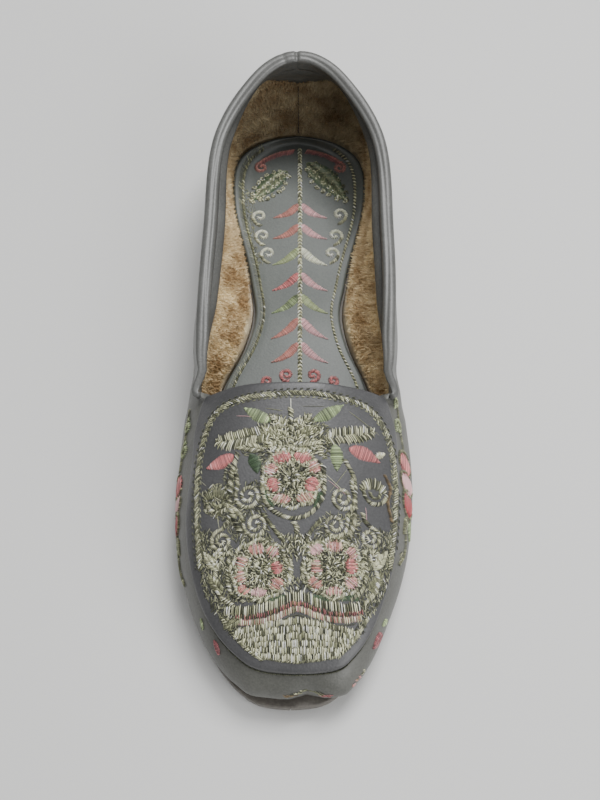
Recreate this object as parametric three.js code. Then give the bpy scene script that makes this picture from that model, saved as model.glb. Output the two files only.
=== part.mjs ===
// Khussa: a flat slip-on shoe of embroidered leather, for the left foot.
// Millimetres, +Z up. The toe points to -Y, the heel to +Y, and +X is the outer side of the foot.
// The origin is on the floor, under the middle of the shoe.
import * as THREE from "three";

// Driving dimensions of the shoe.
const LENGTH = 250; // heel bulge to the tip of the sole
const GIRTH_TOE_SETBACK = 2; // the upper's toe stands this far behind the sole's tip
const FEATHER_HEEL_SETBACK = 5; // where the upper meets the sole, behind the heel bulge
const FEATHER_TOE_SETBACK = 4.5;
const APRON_FRONT_SETBACK = 9; // front edge of the apron, behind the tip
const SHOULDER_HEEL_SETBACK = 0.5;
const THROAT_Y = -20.6; // middle of the throat edge
const THROAT_HEIGHT = 47; // instep height at the throat
const THROAT_POWER = 2.4; // how square the throat's arch is
const VAMP_CROWN = 2.2; // swell of the vamp over a straight line from apron edge to throat
const WALL = 2; // leather and lining of the upper together
const GAP = 0.3; // between pieces that lie on each other

const SOLE_THICKNESS = 5;
const SOLE_MARGIN = 1.2; // the sole shows this far outside the upper
const SOLE_TOE_MARGIN = -1; // towards the toe the upper bulges over the sole, except at its tip
const SOLE_EDGE_ROUNDING = 0.8;
const SOLE_TIP_SHIFT = -2.6; // the sole's tip points a little to the inner side
const SOLE_TIP_POWER = 4; // how close to the tip the sole bends
const TOE_SPRING = 3.5;
const TOE_SPRING_START_Y = -85;
const ARCH_RISE = 1.8;
const ARCH_FRONT_Y = -15;
const ARCH_BACK_Y = 55;

const INSOLE_THICKNESS = 3.2;
const INSOLE_INSET = 3; // from the outside of the upper's lower edge
const INSOLE_CROWN = 0.7;
const INSOLE_LEAST_HALF = 0.5;
const INSOLE_EDGE_ROUNDING = 1;

const APRON_THICKNESS = 1.5;
const APRON_OVERHANG = 0.5; // the apron's back edge reaches past the throat of the upper
const APRON_CORNER_SPAN = 0.055; // share of the loop over which the apron's corner is rounded
const CORNER_MARGIN = 0.01; // share of the loop kept free at the throat's corner

const BINDING_THICKNESS = 1;
const BINDING_CLEARANCE = 0.5; // between the binding and either face of the wall
const BINDING_DROP = 5.5; // how far the binding reaches down each face of the wall
const BINDING_RISE = 1.7; // height of its rolled edge above the wall

const TOE_DENT_DEPTH = 2.2; // pinch at the toe where the two side walls are sewn together
const TOE_DENT_HALF_WIDTH = 4;
const TOE_DENT_X = 3.5;

// Lines of the last. A station runs from 0 at the heel to 1 at the toe along either side of the shoe.
// feather: half width where the upper meets the sole. girth: half width and height of the widest line.
// shoulder: half width and height of the apron's edge line, which runs on round the heel.
// swing: how far the shoe's middle line bends to the outer side.
const LAST = [
  { station: 0.0, feather: 0.0, girth: 0.0, girthZ: 24.0, shoulder: 0.0, shoulderZ: 43.0, swing: 0.6 },
  { station: 0.06, feather: 13.8, girth: 13.4, girthZ: 24.0, shoulder: 11.6, shoulderZ: 43.0, swing: 0.7 },
  { station: 0.14, feather: 26.8, girth: 27.2, girthZ: 24.0, shoulder: 24.2, shoulderZ: 42.0, swing: 0.8 },
  { station: 0.25, feather: 29.8, girth: 33.6, girthZ: 24.0, shoulder: 33.6, shoulderZ: 39.5, swing: 1.0 },
  { station: 0.375, feather: 21.9, girth: 30.4, girthZ: 22.0, shoulder: 33.8, shoulderZ: 35.0, swing: 0.9 },
  { station: 0.42, feather: 19.8, girth: 31.2, girthZ: 20.6, shoulder: 34.9, shoulderZ: 32.7, swing: 0.7 },
  { station: 0.46, feather: 22.8, girth: 33.3, girthZ: 19.3, shoulder: 36.2, shoulderZ: 31.0, swing: 0.4 },
  { station: 0.5, feather: 29.5, girth: 36.6, girthZ: 18.0, shoulder: 37.4, shoulderZ: 29.5, swing: 0.0 },
  { station: 0.56, feather: 35.0, girth: 41.2, girthZ: 16.0, shoulder: 36.2, shoulderZ: 29.5, swing: 0.0 },
  { station: 0.62, feather: 38.8, girth: 43.0, girthZ: 14.0, shoulder: 35.3, shoulderZ: 30.5, swing: 0.1 },
  { station: 0.7, feather: 38.3, girth: 41.0, girthZ: 13.0, shoulder: 36.2, shoulderZ: 27.2, swing: -0.5 },
  { station: 0.8, feather: 30.2, girth: 32.6, girthZ: 12.2, shoulder: 30.3, shoulderZ: 23.9, swing: -0.9 },
  { station: 0.9, feather: 18.6, girth: 21.4, girthZ: 12.5, shoulder: 19.7, shoulderZ: 21.9, swing: 0.4 },
  { station: 0.96, feather: 10.0, girth: 13.2, girthZ: 13.0, shoulder: 11.4, shoulderZ: 21.3, swing: 1.3 },
  { station: 1.0, feather: 0.0, girth: 0.0, girthZ: 13.2, shoulder: 0.0, shoulderZ: 21.2, swing: 1.4 },
];

// Upper edge of the collar, from the back of the heel to the corner of the throat.
const COLLAR = [
  { station: 0.0, half: 0.0, y: 120.7, z: 57.0 },
  { station: 0.06, half: 7.3, y: 119.3, z: 56.6 },
  { station: 0.14, half: 17.3, y: 111.6, z: 54.8 },
  { station: 0.25, half: 31.5, y: 86.4, z: 50.0 },
  { station: 0.375, half: 34.6, y: 46.0, z: 44.0 },
  { station: 0.5, half: 35.2, y: 4.0, z: 39.0 },
  { station: 0.53, half: 34.8, y: -9.0, z: 37.0 },
  { station: 0.56, half: 31.0, y: -20.6, z: 34.0 },
];
const CORNER = COLLAR[COLLAR.length - 1];
const BINDING_END = CORNER.station - CORNER_MARGIN;
const APRON_START = CORNER.station + CORNER_MARGIN;

// How finely the pieces are faceted.
const LOOP_STEPS = 76; // round the whole shoe
const PROFILE_STEPS = { foot: 3, wall: 4, top: 6 }; // feather to girth, girth to shoulder, shoulder to edge
const ACROSS_STEPS = 8;
const FOLD_STEPS = 3; // down each face of the binding
const ROLL_STEPS = 6; // over its rolled edge
const END_STATION = 0.018; // the sole and insole end in a narrow facet this far from either tip
const SLOPE_STEP = 0.004;

// Value of a table's column at a station, on a smooth curve through the rows. Past the heel and the toe the
// curve goes on to the other side of the shoe, where widths change sign (mirror -1) and heights do not.
function along(table, column, station, mirror) {
  const last = table.length - 1;
  const at = (i) => {
    if (i < 0) return [2 * table[0].station - table[-i].station, mirror * table[-i][column]];
    if (i > last) {
      const j = 2 * last - i;
      return [2 * table[last].station - table[j].station, mirror * table[j][column]];
    }
    return [table[i].station, table[i][column]];
  };
  let i = 0;
  while (i < last - 1 && station > table[i + 1].station) i += 1;
  const [before, start, end, after] = [at(i - 1), at(i), at(i + 1), at(i + 2)];
  const slope = (p, q, r) => {
    const [left, right] = [q[0] - p[0], r[0] - q[0]];
    return ((q[1] - p[1]) / left * right + (r[1] - q[1]) / right * left) / (left + right);
  };
  const span = end[0] - start[0];
  const t = (station - start[0]) / span;
  const [m0, m1] = [slope(before, start, end) * span, slope(start, end, after) * span];
  return (
    (2 * t ** 3 - 3 * t ** 2 + 1) * start[1] +
    (t ** 3 - 2 * t ** 2 + t) * m0 +
    (3 * t ** 2 - 2 * t ** 3) * end[1] +
    (t ** 3 - t ** 2) * m1
  );
}

const width = (column, station) => along(LAST, column, station, -1);
const level = (column, station) => along(LAST, column, station, 1);
const smoothStep = (x) => THREE.MathUtils.smoothstep(x, 0, 1);

// Place along the shoe of a line that runs from its own heel end to its own toe end.
function lengthwise(heelSetback, toeSetback, station) {
  const heelY = LENGTH / 2 - heelSetback;
  const toeY = -LENGTH / 2 + toeSetback;
  return (heelY + toeY) / 2 + ((heelY - toeY) / 2) * Math.cos(Math.PI * station);
}

// Underside of the sole: flat at heel and forefoot, raised at the waist and the toe.
function soleBottom(y) {
  const spring = Math.max(0, (TOE_SPRING_START_Y - y) / (TOE_SPRING_START_Y + LENGTH / 2));
  const waist = THREE.MathUtils.clamp((y - ARCH_FRONT_Y) / (ARCH_BACK_Y - ARCH_FRONT_Y), 0, 1);
  return TOE_SPRING * spring ** 2 + ARCH_RISE * Math.sin(Math.PI * waist) ** 2;
}
const soleTop = (y) => soleBottom(y) + SOLE_THICKNESS;

// Top edge of the upper: the collar as far as the throat's corner, then the arch of the throat.
function topEdge(station, side) {
  if (station <= CORNER.station) {
    const half = along(COLLAR, "half", station, -1);
    const y = along(COLLAR, "y", station, 1);
    return new THREE.Vector3(side * half, y, along(COLLAR, "z", station, 1));
  }
  const share = (1 - station) / (1 - CORNER.station);
  const drop = (THROAT_HEIGHT - CORNER.z) * share ** THROAT_POWER;
  return new THREE.Vector3(side * CORNER.half * share, THROAT_Y, THROAT_HEIGHT - drop);
}

// A profile of the upper, from the sole over girth and shoulder to the top edge. The loop runs from the heel
// along the outer side to the toe (0 to 1) and back along the inner side (1 to 2).
const profiles = new Map();
function profile(loop) {
  const key = loop.toFixed(6);
  if (profiles.has(key)) return profiles.get(key);
  const turn = ((loop % 2) + 2) % 2;
  const side = turn <= 1 ? 1 : -1;
  const station = turn <= 1 ? turn : 2 - turn;
  const pinch = (x) => TOE_DENT_DEPTH * Math.exp(-(((x - TOE_DENT_X) / TOE_DENT_HALF_WIDTH) ** 2));
  const frontOnly = station > CORNER.station ? 1 : 0;

  const feather = new THREE.Vector3(side * width("feather", station), 0, 0);
  feather.y = lengthwise(FEATHER_HEEL_SETBACK, FEATHER_TOE_SETBACK, station);
  feather.z = soleTop(feather.y) + GAP;
  const girth = new THREE.Vector3(side * width("girth", station), 0, level("girthZ", station));
  girth.y = lengthwise(0, GIRTH_TOE_SETBACK, station) + frontOnly * pinch(girth.x);
  const shoulder = new THREE.Vector3(side * width("shoulder", station), 0, level("shoulderZ", station));
  shoulder.y = lengthwise(SHOULDER_HEEL_SETBACK, APRON_FRONT_SETBACK, station);
  const top = topEdge(station, side);
  const crown = new THREE.Vector3().addVectors(shoulder, top).multiplyScalar(0.5);
  crown.z += VAMP_CROWN * smoothStep((station - CORNER.station) / (2 * APRON_CORNER_SPAN));

  const points = [feather, girth, shoulder, crown, top];
  const swing = level("swing", station);
  points.forEach((p) => (p.x += swing));
  const curve = new THREE.CatmullRomCurve3(points, false, "centripetal");
  profiles.set(key, curve);
  return curve;
}

// Marks along a profile, as shares of its length in segments.
const AT = { feather: 0, girth: 0.25, shoulder: 0.5, edge: 1 };
const outside = (loop, v) => profile(loop).getPoint(THREE.MathUtils.clamp(v, 0, 1));

// Outward normal of the upper's outside.
function normal(loop, v) {
  const [v0, v1] = [Math.max(0, v - SLOPE_STEP), Math.min(1, v + SLOPE_STEP)];
  const up = outside(loop, v1).sub(outside(loop, v0));
  const round = outside(loop + SLOPE_STEP, v).sub(outside(loop - SLOPE_STEP, v));
  return up.cross(round).normalize();
}

// Point on a surface that lies this far outside the upper's outside.
const shell = (loop, v, distance) => outside(loop, v).addScaledVector(normal(loop, v), distance);

// The foot of the inside is level with the foot of the outside, so that the wall stands flat on the sole.
function insideFoot(loop) {
  const foot = outside(loop, AT.feather);
  const inward = normal(loop, AT.feather).setZ(0).normalize();
  return foot.addScaledVector(inward, -WALL);
}

function range(from, to, steps) {
  return Array.from({ length: steps + 1 }, (_, i) => from + ((to - from) * i) / steps);
}

// Joins closed sections, all with the same number of points, into one closed mesh. Where the row of sections
// does not close on itself, each end is covered.
function sweep(sections, closed) {
  const count = sections[0].length;
  const positions = sections.flat().flatMap((p) => [p.x, p.y, p.z]);
  const triangles = [];
  const spans = closed ? sections.length : sections.length - 1;
  for (let i = 0; i < spans; i += 1) {
    const next = (i + 1) % sections.length;
    for (let j = 0; j < count; j += 1) {
      const k = (j + 1) % count;
      const [a, b, c, d] = [i * count + j, i * count + k, next * count + k, next * count + j];
      triangles.push([a, b, c], [a, c, d]);
    }
  }
  if (!closed) {
    const cover = (index, reverse) => {
      for (const face of coverFaces(count)) {
        const corners = face.map((j) => index * count + j);
        triangles.push(reverse ? corners.reverse() : corners);
      }
    };
    cover(0, true);
    cover(sections.length - 1, false);
  }
  return outwards(positions, triangles);
}

// Triangles that cover a section whose points run out along one face and back along the other.
function coverFaces(count) {
  const faces = [];
  for (let j = 0; j < Math.floor(count / 2) - 1; j += 1) {
    const [near, far] = [count - 1 - j, count - 2 - j];
    faces.push([j, j + 1, far], [j, far, near]);
  }
  if (count % 2 === 1) {
    const middle = (count - 1) / 2;
    faces.push([middle - 1, middle, middle + 1]);
  }
  return faces;
}

// A mesh from triangles, turned so that its faces point out.
function outwards(positions, triangles) {
  const corner = (i) => new THREE.Vector3().fromArray(positions, 3 * i);
  const volume = triangles.reduce((sum, [a, b, c]) => sum + corner(a).dot(corner(b).cross(corner(c))) / 6, 0);
  const index = triangles.flatMap((t) => (volume < 0 ? [...t].reverse() : t));
  const geometry = new THREE.BufferGeometry();
  geometry.setAttribute("position", new THREE.Float32BufferAttribute(positions, 3));
  geometry.setIndex(index);
  geometry.computeVertexNormals();
  return geometry;
}

// The upper: one wall of leather from the sole to the collar and over the vamp to the throat.
// It is open underneath and at the collar and throat.
function upper() {
  const rows = [
    ...range(AT.feather, AT.girth, PROFILE_STEPS.foot).slice(0, -1),
    ...range(AT.girth, AT.shoulder, PROFILE_STEPS.wall).slice(0, -1),
    ...range(AT.shoulder, AT.edge, PROFILE_STEPS.top),
  ];
  const sections = loopStations().map((loop) => {
    const out = rows.map((v) => outside(loop, v));
    const inner = rows.slice(1).map((v) => shell(loop, v, -WALL));
    return [...out, ...inner.reverse(), insideFoot(loop)];
  });
  return sweep(sections, true);
}

// Loop values round the shoe, with one exactly at each corner of the throat and one close to it on either
// hand, where the binding ends and the apron begins.
function loopStations() {
  const collarSteps = Math.round((LOOP_STEPS * CORNER.station) / 2);
  const vampSteps = LOOP_STEPS / 2 - collarSteps;
  const half = [...range(0, BINDING_END, collarSteps), CORNER.station, ...range(APRON_START, 1, vampSteps)];
  return [...half, ...half.slice(1, -1).reverse().map((s) => 2 - s)];
}

// The apron: the embroidered panel on top of the vamp, a shell a little above the upper's outside.
function apron() {
  const lower = GAP;
  const higher = GAP + APRON_THICKNESS;
  const stations = loopStations().filter((loop) => loop >= APRON_START && loop <= 2 - APRON_START);
  const sections = stations.map((loop) => {
    const fromCorner = Math.min(loop, 2 - loop) - CORNER.station;
    const round = Math.sqrt(smoothStep(fromCorner / APRON_CORNER_SPAN));
    const edge = THREE.MathUtils.lerp(AT.edge, AT.shoulder, round);
    const rows = range(edge, AT.edge, PROFILE_STEPS.top);
    const back = new THREE.Vector3(0, APRON_OVERHANG, 0);
    const face = (distance) => rows.map((v) => shell(loop, v, distance));
    return [...face(higher), ...face(higher).slice(-1).map((p) => p.add(back)),
      ...face(lower).slice(-1).map((p) => p.add(back)), ...face(lower).reverse()];
  });
  return sweep(sections, false);
}

// The binding: a folded strip of leather round the collar, which caps both faces of the wall.
function collarBinding() {
  const half = loopStations().filter((loop) => loop > 0 && loop <= BINDING_END);
  const sections = [...half.map((loop) => -loop).reverse(), 0, ...half].map((loop) => {
    const profileLength = outside(loop, AT.edge).distanceTo(outside(loop, AT.shoulder));
    const drop = AT.edge - ((AT.edge - AT.shoulder) * BINDING_DROP) / profileLength;
    const rows = range(drop, AT.edge, FOLD_STEPS);
    const up = outside(loop, AT.edge).sub(outside(loop, AT.edge - SLOPE_STEP)).normalize();
    const out = normal(loop, AT.edge);
    const middle = shell(loop, AT.edge, -WALL / 2).addScaledVector(up, GAP);
    const face = (distance) => rows.map((v) => shell(loop, v, distance));
    const fold = (clearance, rise) => {
      const reach = WALL / 2 + clearance;
      const roll = range(0, Math.PI, ROLL_STEPS).map((angle) =>
        middle.clone()
          .addScaledVector(out, reach * Math.cos(angle))
          .addScaledVector(up, rise * Math.sin(angle)),
      );
      return [...face(clearance), ...roll, ...face(-WALL - clearance).reverse()];
    };
    const slot = fold(BINDING_CLEARANCE, BINDING_CLEARANCE);
    return [...fold(BINDING_CLEARANCE + BINDING_THICKNESS, BINDING_RISE), ...slot.reverse()];
  });
  return sweep(sections, false);
}

// A slab with a rounded outline, swept from heel to toe: its rows give the outline of each level.
function slab(levels, stations) {
  const sections = stations.map((station) => {
    const rims = levels.map((rim) => rim(station));
    const topRim = rims[rims.length - 1];
    const right = rims.map((r) => new THREE.Vector3(r.x + r.half, r.y, r.z));
    const left = rims.map((r) => new THREE.Vector3(r.x - r.half, r.y, r.z)).reverse();
    const across = range(1, -1, ACROSS_STEPS).slice(1, -1).map((share) =>
      new THREE.Vector3(topRim.x + share * topRim.half, topRim.y, topRim.z + topRim.crown * (1 - share ** 2)),
    );
    return [...right, ...across, ...left];
  });
  return sweep(sections, false);
}

const slabStations = () => range(END_STATION, 1 - END_STATION, LOOP_STEPS / 2);

// The sole: one thickness of leather, a little wider than the upper, with rounded edges.
function outsole() {
  const rim = (inset, height) => (station) => {
    const y = lengthwise(FEATHER_HEEL_SETBACK - SOLE_MARGIN + inset, inset, station);
    const toeward = smoothStep((station - CORNER.station) / (1 - CORNER.station));
    const margin = THREE.MathUtils.lerp(SOLE_MARGIN, SOLE_TOE_MARGIN, toeward);
    return {
      x: level("swing", station) + SOLE_TIP_SHIFT * toeward ** SOLE_TIP_POWER,
      y,
      z: soleBottom(y) + height,
      half: width("feather", station) + margin - inset,
      crown: 0,
    };
  };
  const low = SOLE_EDGE_ROUNDING;
  const high = SOLE_EDGE_ROUNDING / 2;
  const levels = [rim(low, 0), rim(0, low), rim(0, SOLE_THICKNESS - high), rim(high, SOLE_THICKNESS)];
  return slab(levels, slabStations());
}

// The insole: a padded leather sock on top of the sole, inside the upper.
function insole() {
  const rim = (inset, height, crown) => (station) => {
    const setback = INSOLE_INSET + inset;
    const y = lengthwise(FEATHER_HEEL_SETBACK + setback, FEATHER_TOE_SETBACK + setback, station);
    const half = width("feather", station) - setback;
    return {
      x: level("swing", station),
      y,
      z: soleTop(y) + GAP + height,
      half: Math.max(half, INSOLE_LEAST_HALF),
      crown,
    };
  };
  const r = INSOLE_EDGE_ROUNDING;
  const shoulderHeight = INSOLE_THICKNESS - r;
  const levels = [rim(0, 0, 0), rim(0, shoulderHeight, 0), rim(r, INSOLE_THICKNESS, INSOLE_CROWN)];
  return slab(levels, slabStations());
}

const leather = (color, roughness) => new THREE.MeshStandardMaterial({ color, roughness, metalness: 0 });
const PIECES = [
  { name: "outsole", geometry: outsole(), material: leather(0x635d55, 0.6) },
  { name: "insole", geometry: insole(), material: leather(0x5e6060, 0.5) },
  { name: "upper", geometry: upper(), material: leather(0x575855, 0.45) },
  { name: "apron", geometry: apron(), material: leather(0x4a4a4a, 0.45) },
  { name: "collar_binding", geometry: collarBinding(), material: leather(0x5c5c5a, 0.4) },
];

const khussa = new THREE.Group();
for (const { name, geometry, material } of PIECES) {
  const piece = new THREE.Mesh(geometry, material);
  piece.name = name;
  khussa.add(piece);
}

export default khussa;
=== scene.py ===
# %% [markdown]
# # A khussa, worked from its own last
# A khussa is a flat slip-on shoe of leather, embroidered on the vamp, on the insole and a little on its
# sides. The packed frame gives plain solids for its sole, insole, upper, apron and collar binding. This
# lesson replaces each of them with a finer surface of the same shape, and then sews on the thread, the pile
# and the stitching. Sizes are in millimetres until a mesh is made; Blender itself works in metres.

# %% Load the frame
import math
import random
import bpy
import numpy as np
from mathutils import Matrix, Vector
from mathutils.bvhtree import BVHTree


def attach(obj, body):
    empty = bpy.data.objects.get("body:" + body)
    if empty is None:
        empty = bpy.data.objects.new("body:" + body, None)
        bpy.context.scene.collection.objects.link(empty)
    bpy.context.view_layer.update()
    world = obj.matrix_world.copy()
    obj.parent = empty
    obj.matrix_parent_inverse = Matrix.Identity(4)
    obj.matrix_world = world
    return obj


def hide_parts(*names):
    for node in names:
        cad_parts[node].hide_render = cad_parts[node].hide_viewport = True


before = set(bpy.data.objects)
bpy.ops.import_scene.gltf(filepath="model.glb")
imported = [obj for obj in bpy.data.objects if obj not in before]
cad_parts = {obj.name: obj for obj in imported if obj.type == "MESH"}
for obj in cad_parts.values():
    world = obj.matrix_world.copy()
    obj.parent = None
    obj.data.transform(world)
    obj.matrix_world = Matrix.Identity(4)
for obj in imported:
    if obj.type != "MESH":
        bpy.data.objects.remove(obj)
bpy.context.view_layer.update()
MM = 0.001


# %% [markdown]
# ## The last
# Every piece of the shoe follows one surface, so the surface is written once as a function. Five lines run
# along each side from heel (station 0) to toe (station 1): the feather, where the upper meets the sole; the
# girth; the shoulder, which is the apron's edge in front; a crown between shoulder and top; and the top
# edge. A smooth curve through the five gives the profile at any station. A sculpted mesh would look the
# same from one side, but the thread and the pile need to ask the surface for points later, and a function
# can answer.

# %% Lines of the last
LENGTH = 250
WALL = 2
GAP = 0.3
SOLE_THICKNESS = 5
LAST_COLUMNS = ("station", "feather", "girth", "girth_z", "shoulder", "shoulder_z", "swing")
LAST_ROWS = [
    (0.0, 0.0, 0.0, 24.0, 0.0, 43.0, 0.6),
    (0.06, 13.8, 13.4, 24.0, 11.6, 43.0, 0.7),
    (0.14, 26.8, 27.2, 24.0, 24.2, 42.0, 0.8),
    (0.25, 29.8, 33.6, 24.0, 33.6, 39.5, 1.0),
    (0.375, 21.9, 30.4, 22.0, 33.8, 35.0, 0.9),
    (0.42, 19.8, 31.2, 20.6, 34.9, 32.7, 0.7),
    (0.46, 22.8, 33.3, 19.3, 36.2, 31.0, 0.4),
    (0.5, 29.5, 36.6, 18.0, 37.4, 29.5, 0.0),
    (0.56, 35.0, 41.2, 16.0, 36.2, 29.5, 0.0),
    (0.62, 38.8, 43.0, 14.0, 35.3, 30.5, 0.1),
    (0.7, 38.3, 41.0, 13.0, 36.2, 27.2, -0.5),
    (0.8, 30.2, 32.6, 12.2, 30.3, 23.9, -0.9),
    (0.9, 18.6, 21.4, 12.5, 19.7, 21.9, 0.4),
    (0.96, 10.0, 13.2, 13.0, 11.4, 21.3, 1.3),
    (1.0, 0.0, 0.0, 13.2, 0.0, 21.2, 1.4),
]
COLLAR_COLUMNS = ("station", "half", "y", "z")
COLLAR_ROWS = [
    (0.0, 0.0, 120.7, 57.0),
    (0.06, 7.3, 119.3, 56.6),
    (0.14, 17.3, 111.6, 54.8),
    (0.25, 31.5, 86.4, 50.0),
    (0.375, 34.6, 46.0, 44.0),
    (0.5, 35.2, 4.0, 39.0),
    (0.53, 34.8, -9.0, 37.0),
    (0.56, 31.0, -20.6, 34.0),
]
LAST = [dict(zip(LAST_COLUMNS, row)) for row in LAST_ROWS]
COLLAR = [dict(zip(COLLAR_COLUMNS, row)) for row in COLLAR_ROWS]
CORNER = COLLAR[-1]
print("stations on the last:", len(LAST), "and on the collar:", len(COLLAR))


# %% A smooth curve through a table's column
def along(table, column, station, mirror):
    """Past heel and toe the curve goes on to the shoe's other side: widths change sign, heights do not."""
    last = len(table) - 1

    def at(i):
        if i < 0:
            return 2 * table[0]["station"] - table[-i]["station"], mirror * table[-i][column]
        if i > last:
            j = 2 * last - i
            return 2 * table[last]["station"] - table[j]["station"], mirror * table[j][column]
        return table[i]["station"], table[i][column]

    def slope(p, q, r):
        left, right = q[0] - p[0], r[0] - q[0]
        return ((q[1] - p[1]) / left * right + (r[1] - q[1]) / right * left) / (left + right)

    i = 0
    while i < last - 1 and station > table[i + 1]["station"]:
        i += 1
    before, start, end, after = at(i - 1), at(i), at(i + 1), at(i + 2)
    span = end[0] - start[0]
    t = (station - start[0]) / span
    m0, m1 = slope(before, start, end) * span, slope(start, end, after) * span
    return (
        (2 * t**3 - 3 * t**2 + 1) * start[1]
        + (t**3 - 2 * t**2 + t) * m0
        + (3 * t**2 - 2 * t**3) * end[1]
        + (t**3 - t**2) * m1
    )


def width(column, station):
    return along(LAST, column, station, -1)


def level(column, station):
    return along(LAST, column, station, 1)


def smooth(x):
    x = min(1.0, max(0.0, x))
    return x * x * (3 - 2 * x)


def bell(x):
    return math.exp(-x * x)


def lengthwise(heel_setback, toe_setback, station):
    heel, toe = LENGTH / 2 - heel_setback, -LENGTH / 2 + toe_setback
    return (heel + toe) / 2 + (heel - toe) / 2 * math.cos(math.pi * station)


print("ball width:", round(2 * max(width("girth", s / 100) for s in range(101)), 1), "mm")

# %% The sole's curve from heel to toe
TOE_SPRING, SPRING_START = 3.5, -85
ARCH_RISE, ARCH_FRONT, ARCH_BACK = 1.8, -15, 55


def sole_bottom(y):
    spring = max(0.0, (SPRING_START - y) / (SPRING_START + LENGTH / 2))
    waist = min(1.0, max(0.0, (y - ARCH_FRONT) / (ARCH_BACK - ARCH_FRONT)))
    return TOE_SPRING * spring**2 + ARCH_RISE * math.sin(math.pi * waist) ** 2


def sole_top(y):
    return sole_bottom(y) + SOLE_THICKNESS


heights = [round(sole_bottom(y), 1) for y in (LENGTH / 2, (ARCH_FRONT + ARCH_BACK) / 2, -LENGTH / 2)]
print("underside of the sole at heel, waist and toe:", heights, "mm")

# %% The profile at a loop value, 0 to 1 along the outer side and 1 to 2 back along the inner side
THROAT_Y, THROAT_HEIGHT, THROAT_POWER = -20.6, 47, 2.4
VAMP_CROWN, CORNER_SPAN = 2.2, 0.055
FEATHER_ENDS, GIRTH_ENDS, SHOULDER_ENDS = (5, 4.5), (0, 2), (0.5, 9)
DENT_DEPTH, DENT_HALF, DENT_X = 2.2, 4, 3.5
FEATHER, GIRTH, SHOULDER, EDGE = 0, 0.25, 0.5, 1
profiles = {}


def top_edge(station, side):
    if station <= CORNER["station"]:
        half = along(COLLAR, "half", station, -1)
        return [side * half, along(COLLAR, "y", station, 1), along(COLLAR, "z", station, 1)]
    share = (1 - station) / (1 - CORNER["station"])
    drop = (THROAT_HEIGHT - CORNER["z"]) * share**THROAT_POWER
    return [side * CORNER["half"] * share, THROAT_Y, THROAT_HEIGHT - drop]


def profile(loop):
    key = round(loop, 6)
    if key in profiles:
        return profiles[key]
    turn = loop % 2
    side, station = (1, turn) if turn <= 1 else (-1, 2 - turn)
    feather_y = lengthwise(*FEATHER_ENDS, station)
    girth_x = side * width("girth", station)
    pinch = DENT_DEPTH * bell((girth_x - DENT_X) / DENT_HALF) if station > CORNER["station"] else 0
    shoulder_y = lengthwise(*SHOULDER_ENDS, station)
    shoulder = [side * width("shoulder", station), shoulder_y, level("shoulder_z", station)]
    top = top_edge(station, side)
    crown = [(a + b) / 2 for a, b in zip(shoulder, top)]
    crown[2] += VAMP_CROWN * smooth((station - CORNER["station"]) / (2 * CORNER_SPAN))
    points = np.array([
        [side * width("feather", station), feather_y, sole_top(feather_y) + GAP],
        [girth_x, lengthwise(*GIRTH_ENDS, station) + pinch, level("girth_z", station)],
        shoulder, crown, top,
    ])
    points[:, 0] += level("swing", station)
    padded = np.vstack([2 * points[0] - points[1], points, 2 * points[-1] - points[-2]])
    knots = np.sqrt(np.linalg.norm(np.diff(padded, axis=0), axis=1))
    profiles[key] = padded, knots
    return profiles[key]


print("a profile runs through", len(profile(0)[0]) - 2, "points")


# %% Points on the last and off it
def outside(loop, v):
    points, knots = profile(loop)
    place = min(1.0, max(0.0, v)) * 4
    i = min(3, int(place))
    t = place - i
    a, b, c, d = points[i : i + 4]
    k0, k1, k2 = knots[i : i + 3]
    m1 = ((b - a) / k0 - (c - a) / (k0 + k1) + (c - b) / k1) * k1
    m2 = ((c - b) / k1 - (d - b) / (k1 + k2) + (d - c) / k2) * k1
    return b + m1 * t + (-3 * b + 3 * c - 2 * m1 - m2) * t**2 + (2 * b - 2 * c + m1 + m2) * t**3


SLOPE_STEP = 0.004


def normal(loop, v):
    up = outside(loop, min(1, v + SLOPE_STEP)) - outside(loop, max(0, v - SLOPE_STEP))
    n = np.cross(up, outside(loop + SLOPE_STEP, v) - outside(loop - SLOPE_STEP, v))
    return n / np.linalg.norm(n)


def shell(loop, v, distance):
    return outside(loop, v) + normal(loop, v) * distance


print("heel of the last:", outside(0, GIRTH).round(1), "toe:", outside(1, GIRTH).round(1))

# %% [markdown]
# ## Camera
# The shoe is seen from above the toe, 26 degrees off straight down and close enough for the heel to look
# small. The lens follows from the picture's height in pixels and the focal length in pixels.


# %% Camera
def add_object(name, data):
    made = bpy.data.objects.new(name, data)
    bpy.context.scene.collection.objects.link(made)
    return made


TILT_FROM_VERTICAL = math.radians(26)
CAMERA_DISTANCE = 450
CAMERA_TARGET = Vector((1.74, -3.88, 0))
CAMERA_ROLL = math.radians(0.22)
FOCAL_PX, LONG_SIDE_PX = 1141, 800
look = Vector((0, math.sin(TILT_FROM_VERTICAL), -math.cos(TILT_FROM_VERTICAL)))
camera_data = bpy.data.cameras.new("camera")
camera_data.sensor_width = 36
camera_data.lens = FOCAL_PX * camera_data.sensor_width / LONG_SIDE_PX
camera = add_object("camera", camera_data)
camera.location = (CAMERA_TARGET - look * CAMERA_DISTANCE) * MM
turn = look.to_track_quat("-Z", "Y").to_matrix() @ Matrix.Rotation(CAMERA_ROLL, 3, "Z")
camera.rotation_euler = turn.to_euler()
bpy.context.scene.camera = camera
print("camera at", [round(c, 3) for c in camera.location], "lens", round(camera_data.lens, 1), "mm")

# %% [markdown]
# ## Floor and light
# A pale floor and three soft lamps. The key stands high behind the heel on the shoe's outer side, so it
# lights the insole and the far lining through the mouth and leaves the inside of the heel in shade. A
# weaker, broader fill in front of the toe opens the shadows on the same side, and a weak lamp overhead
# reaches the near lining.


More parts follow.
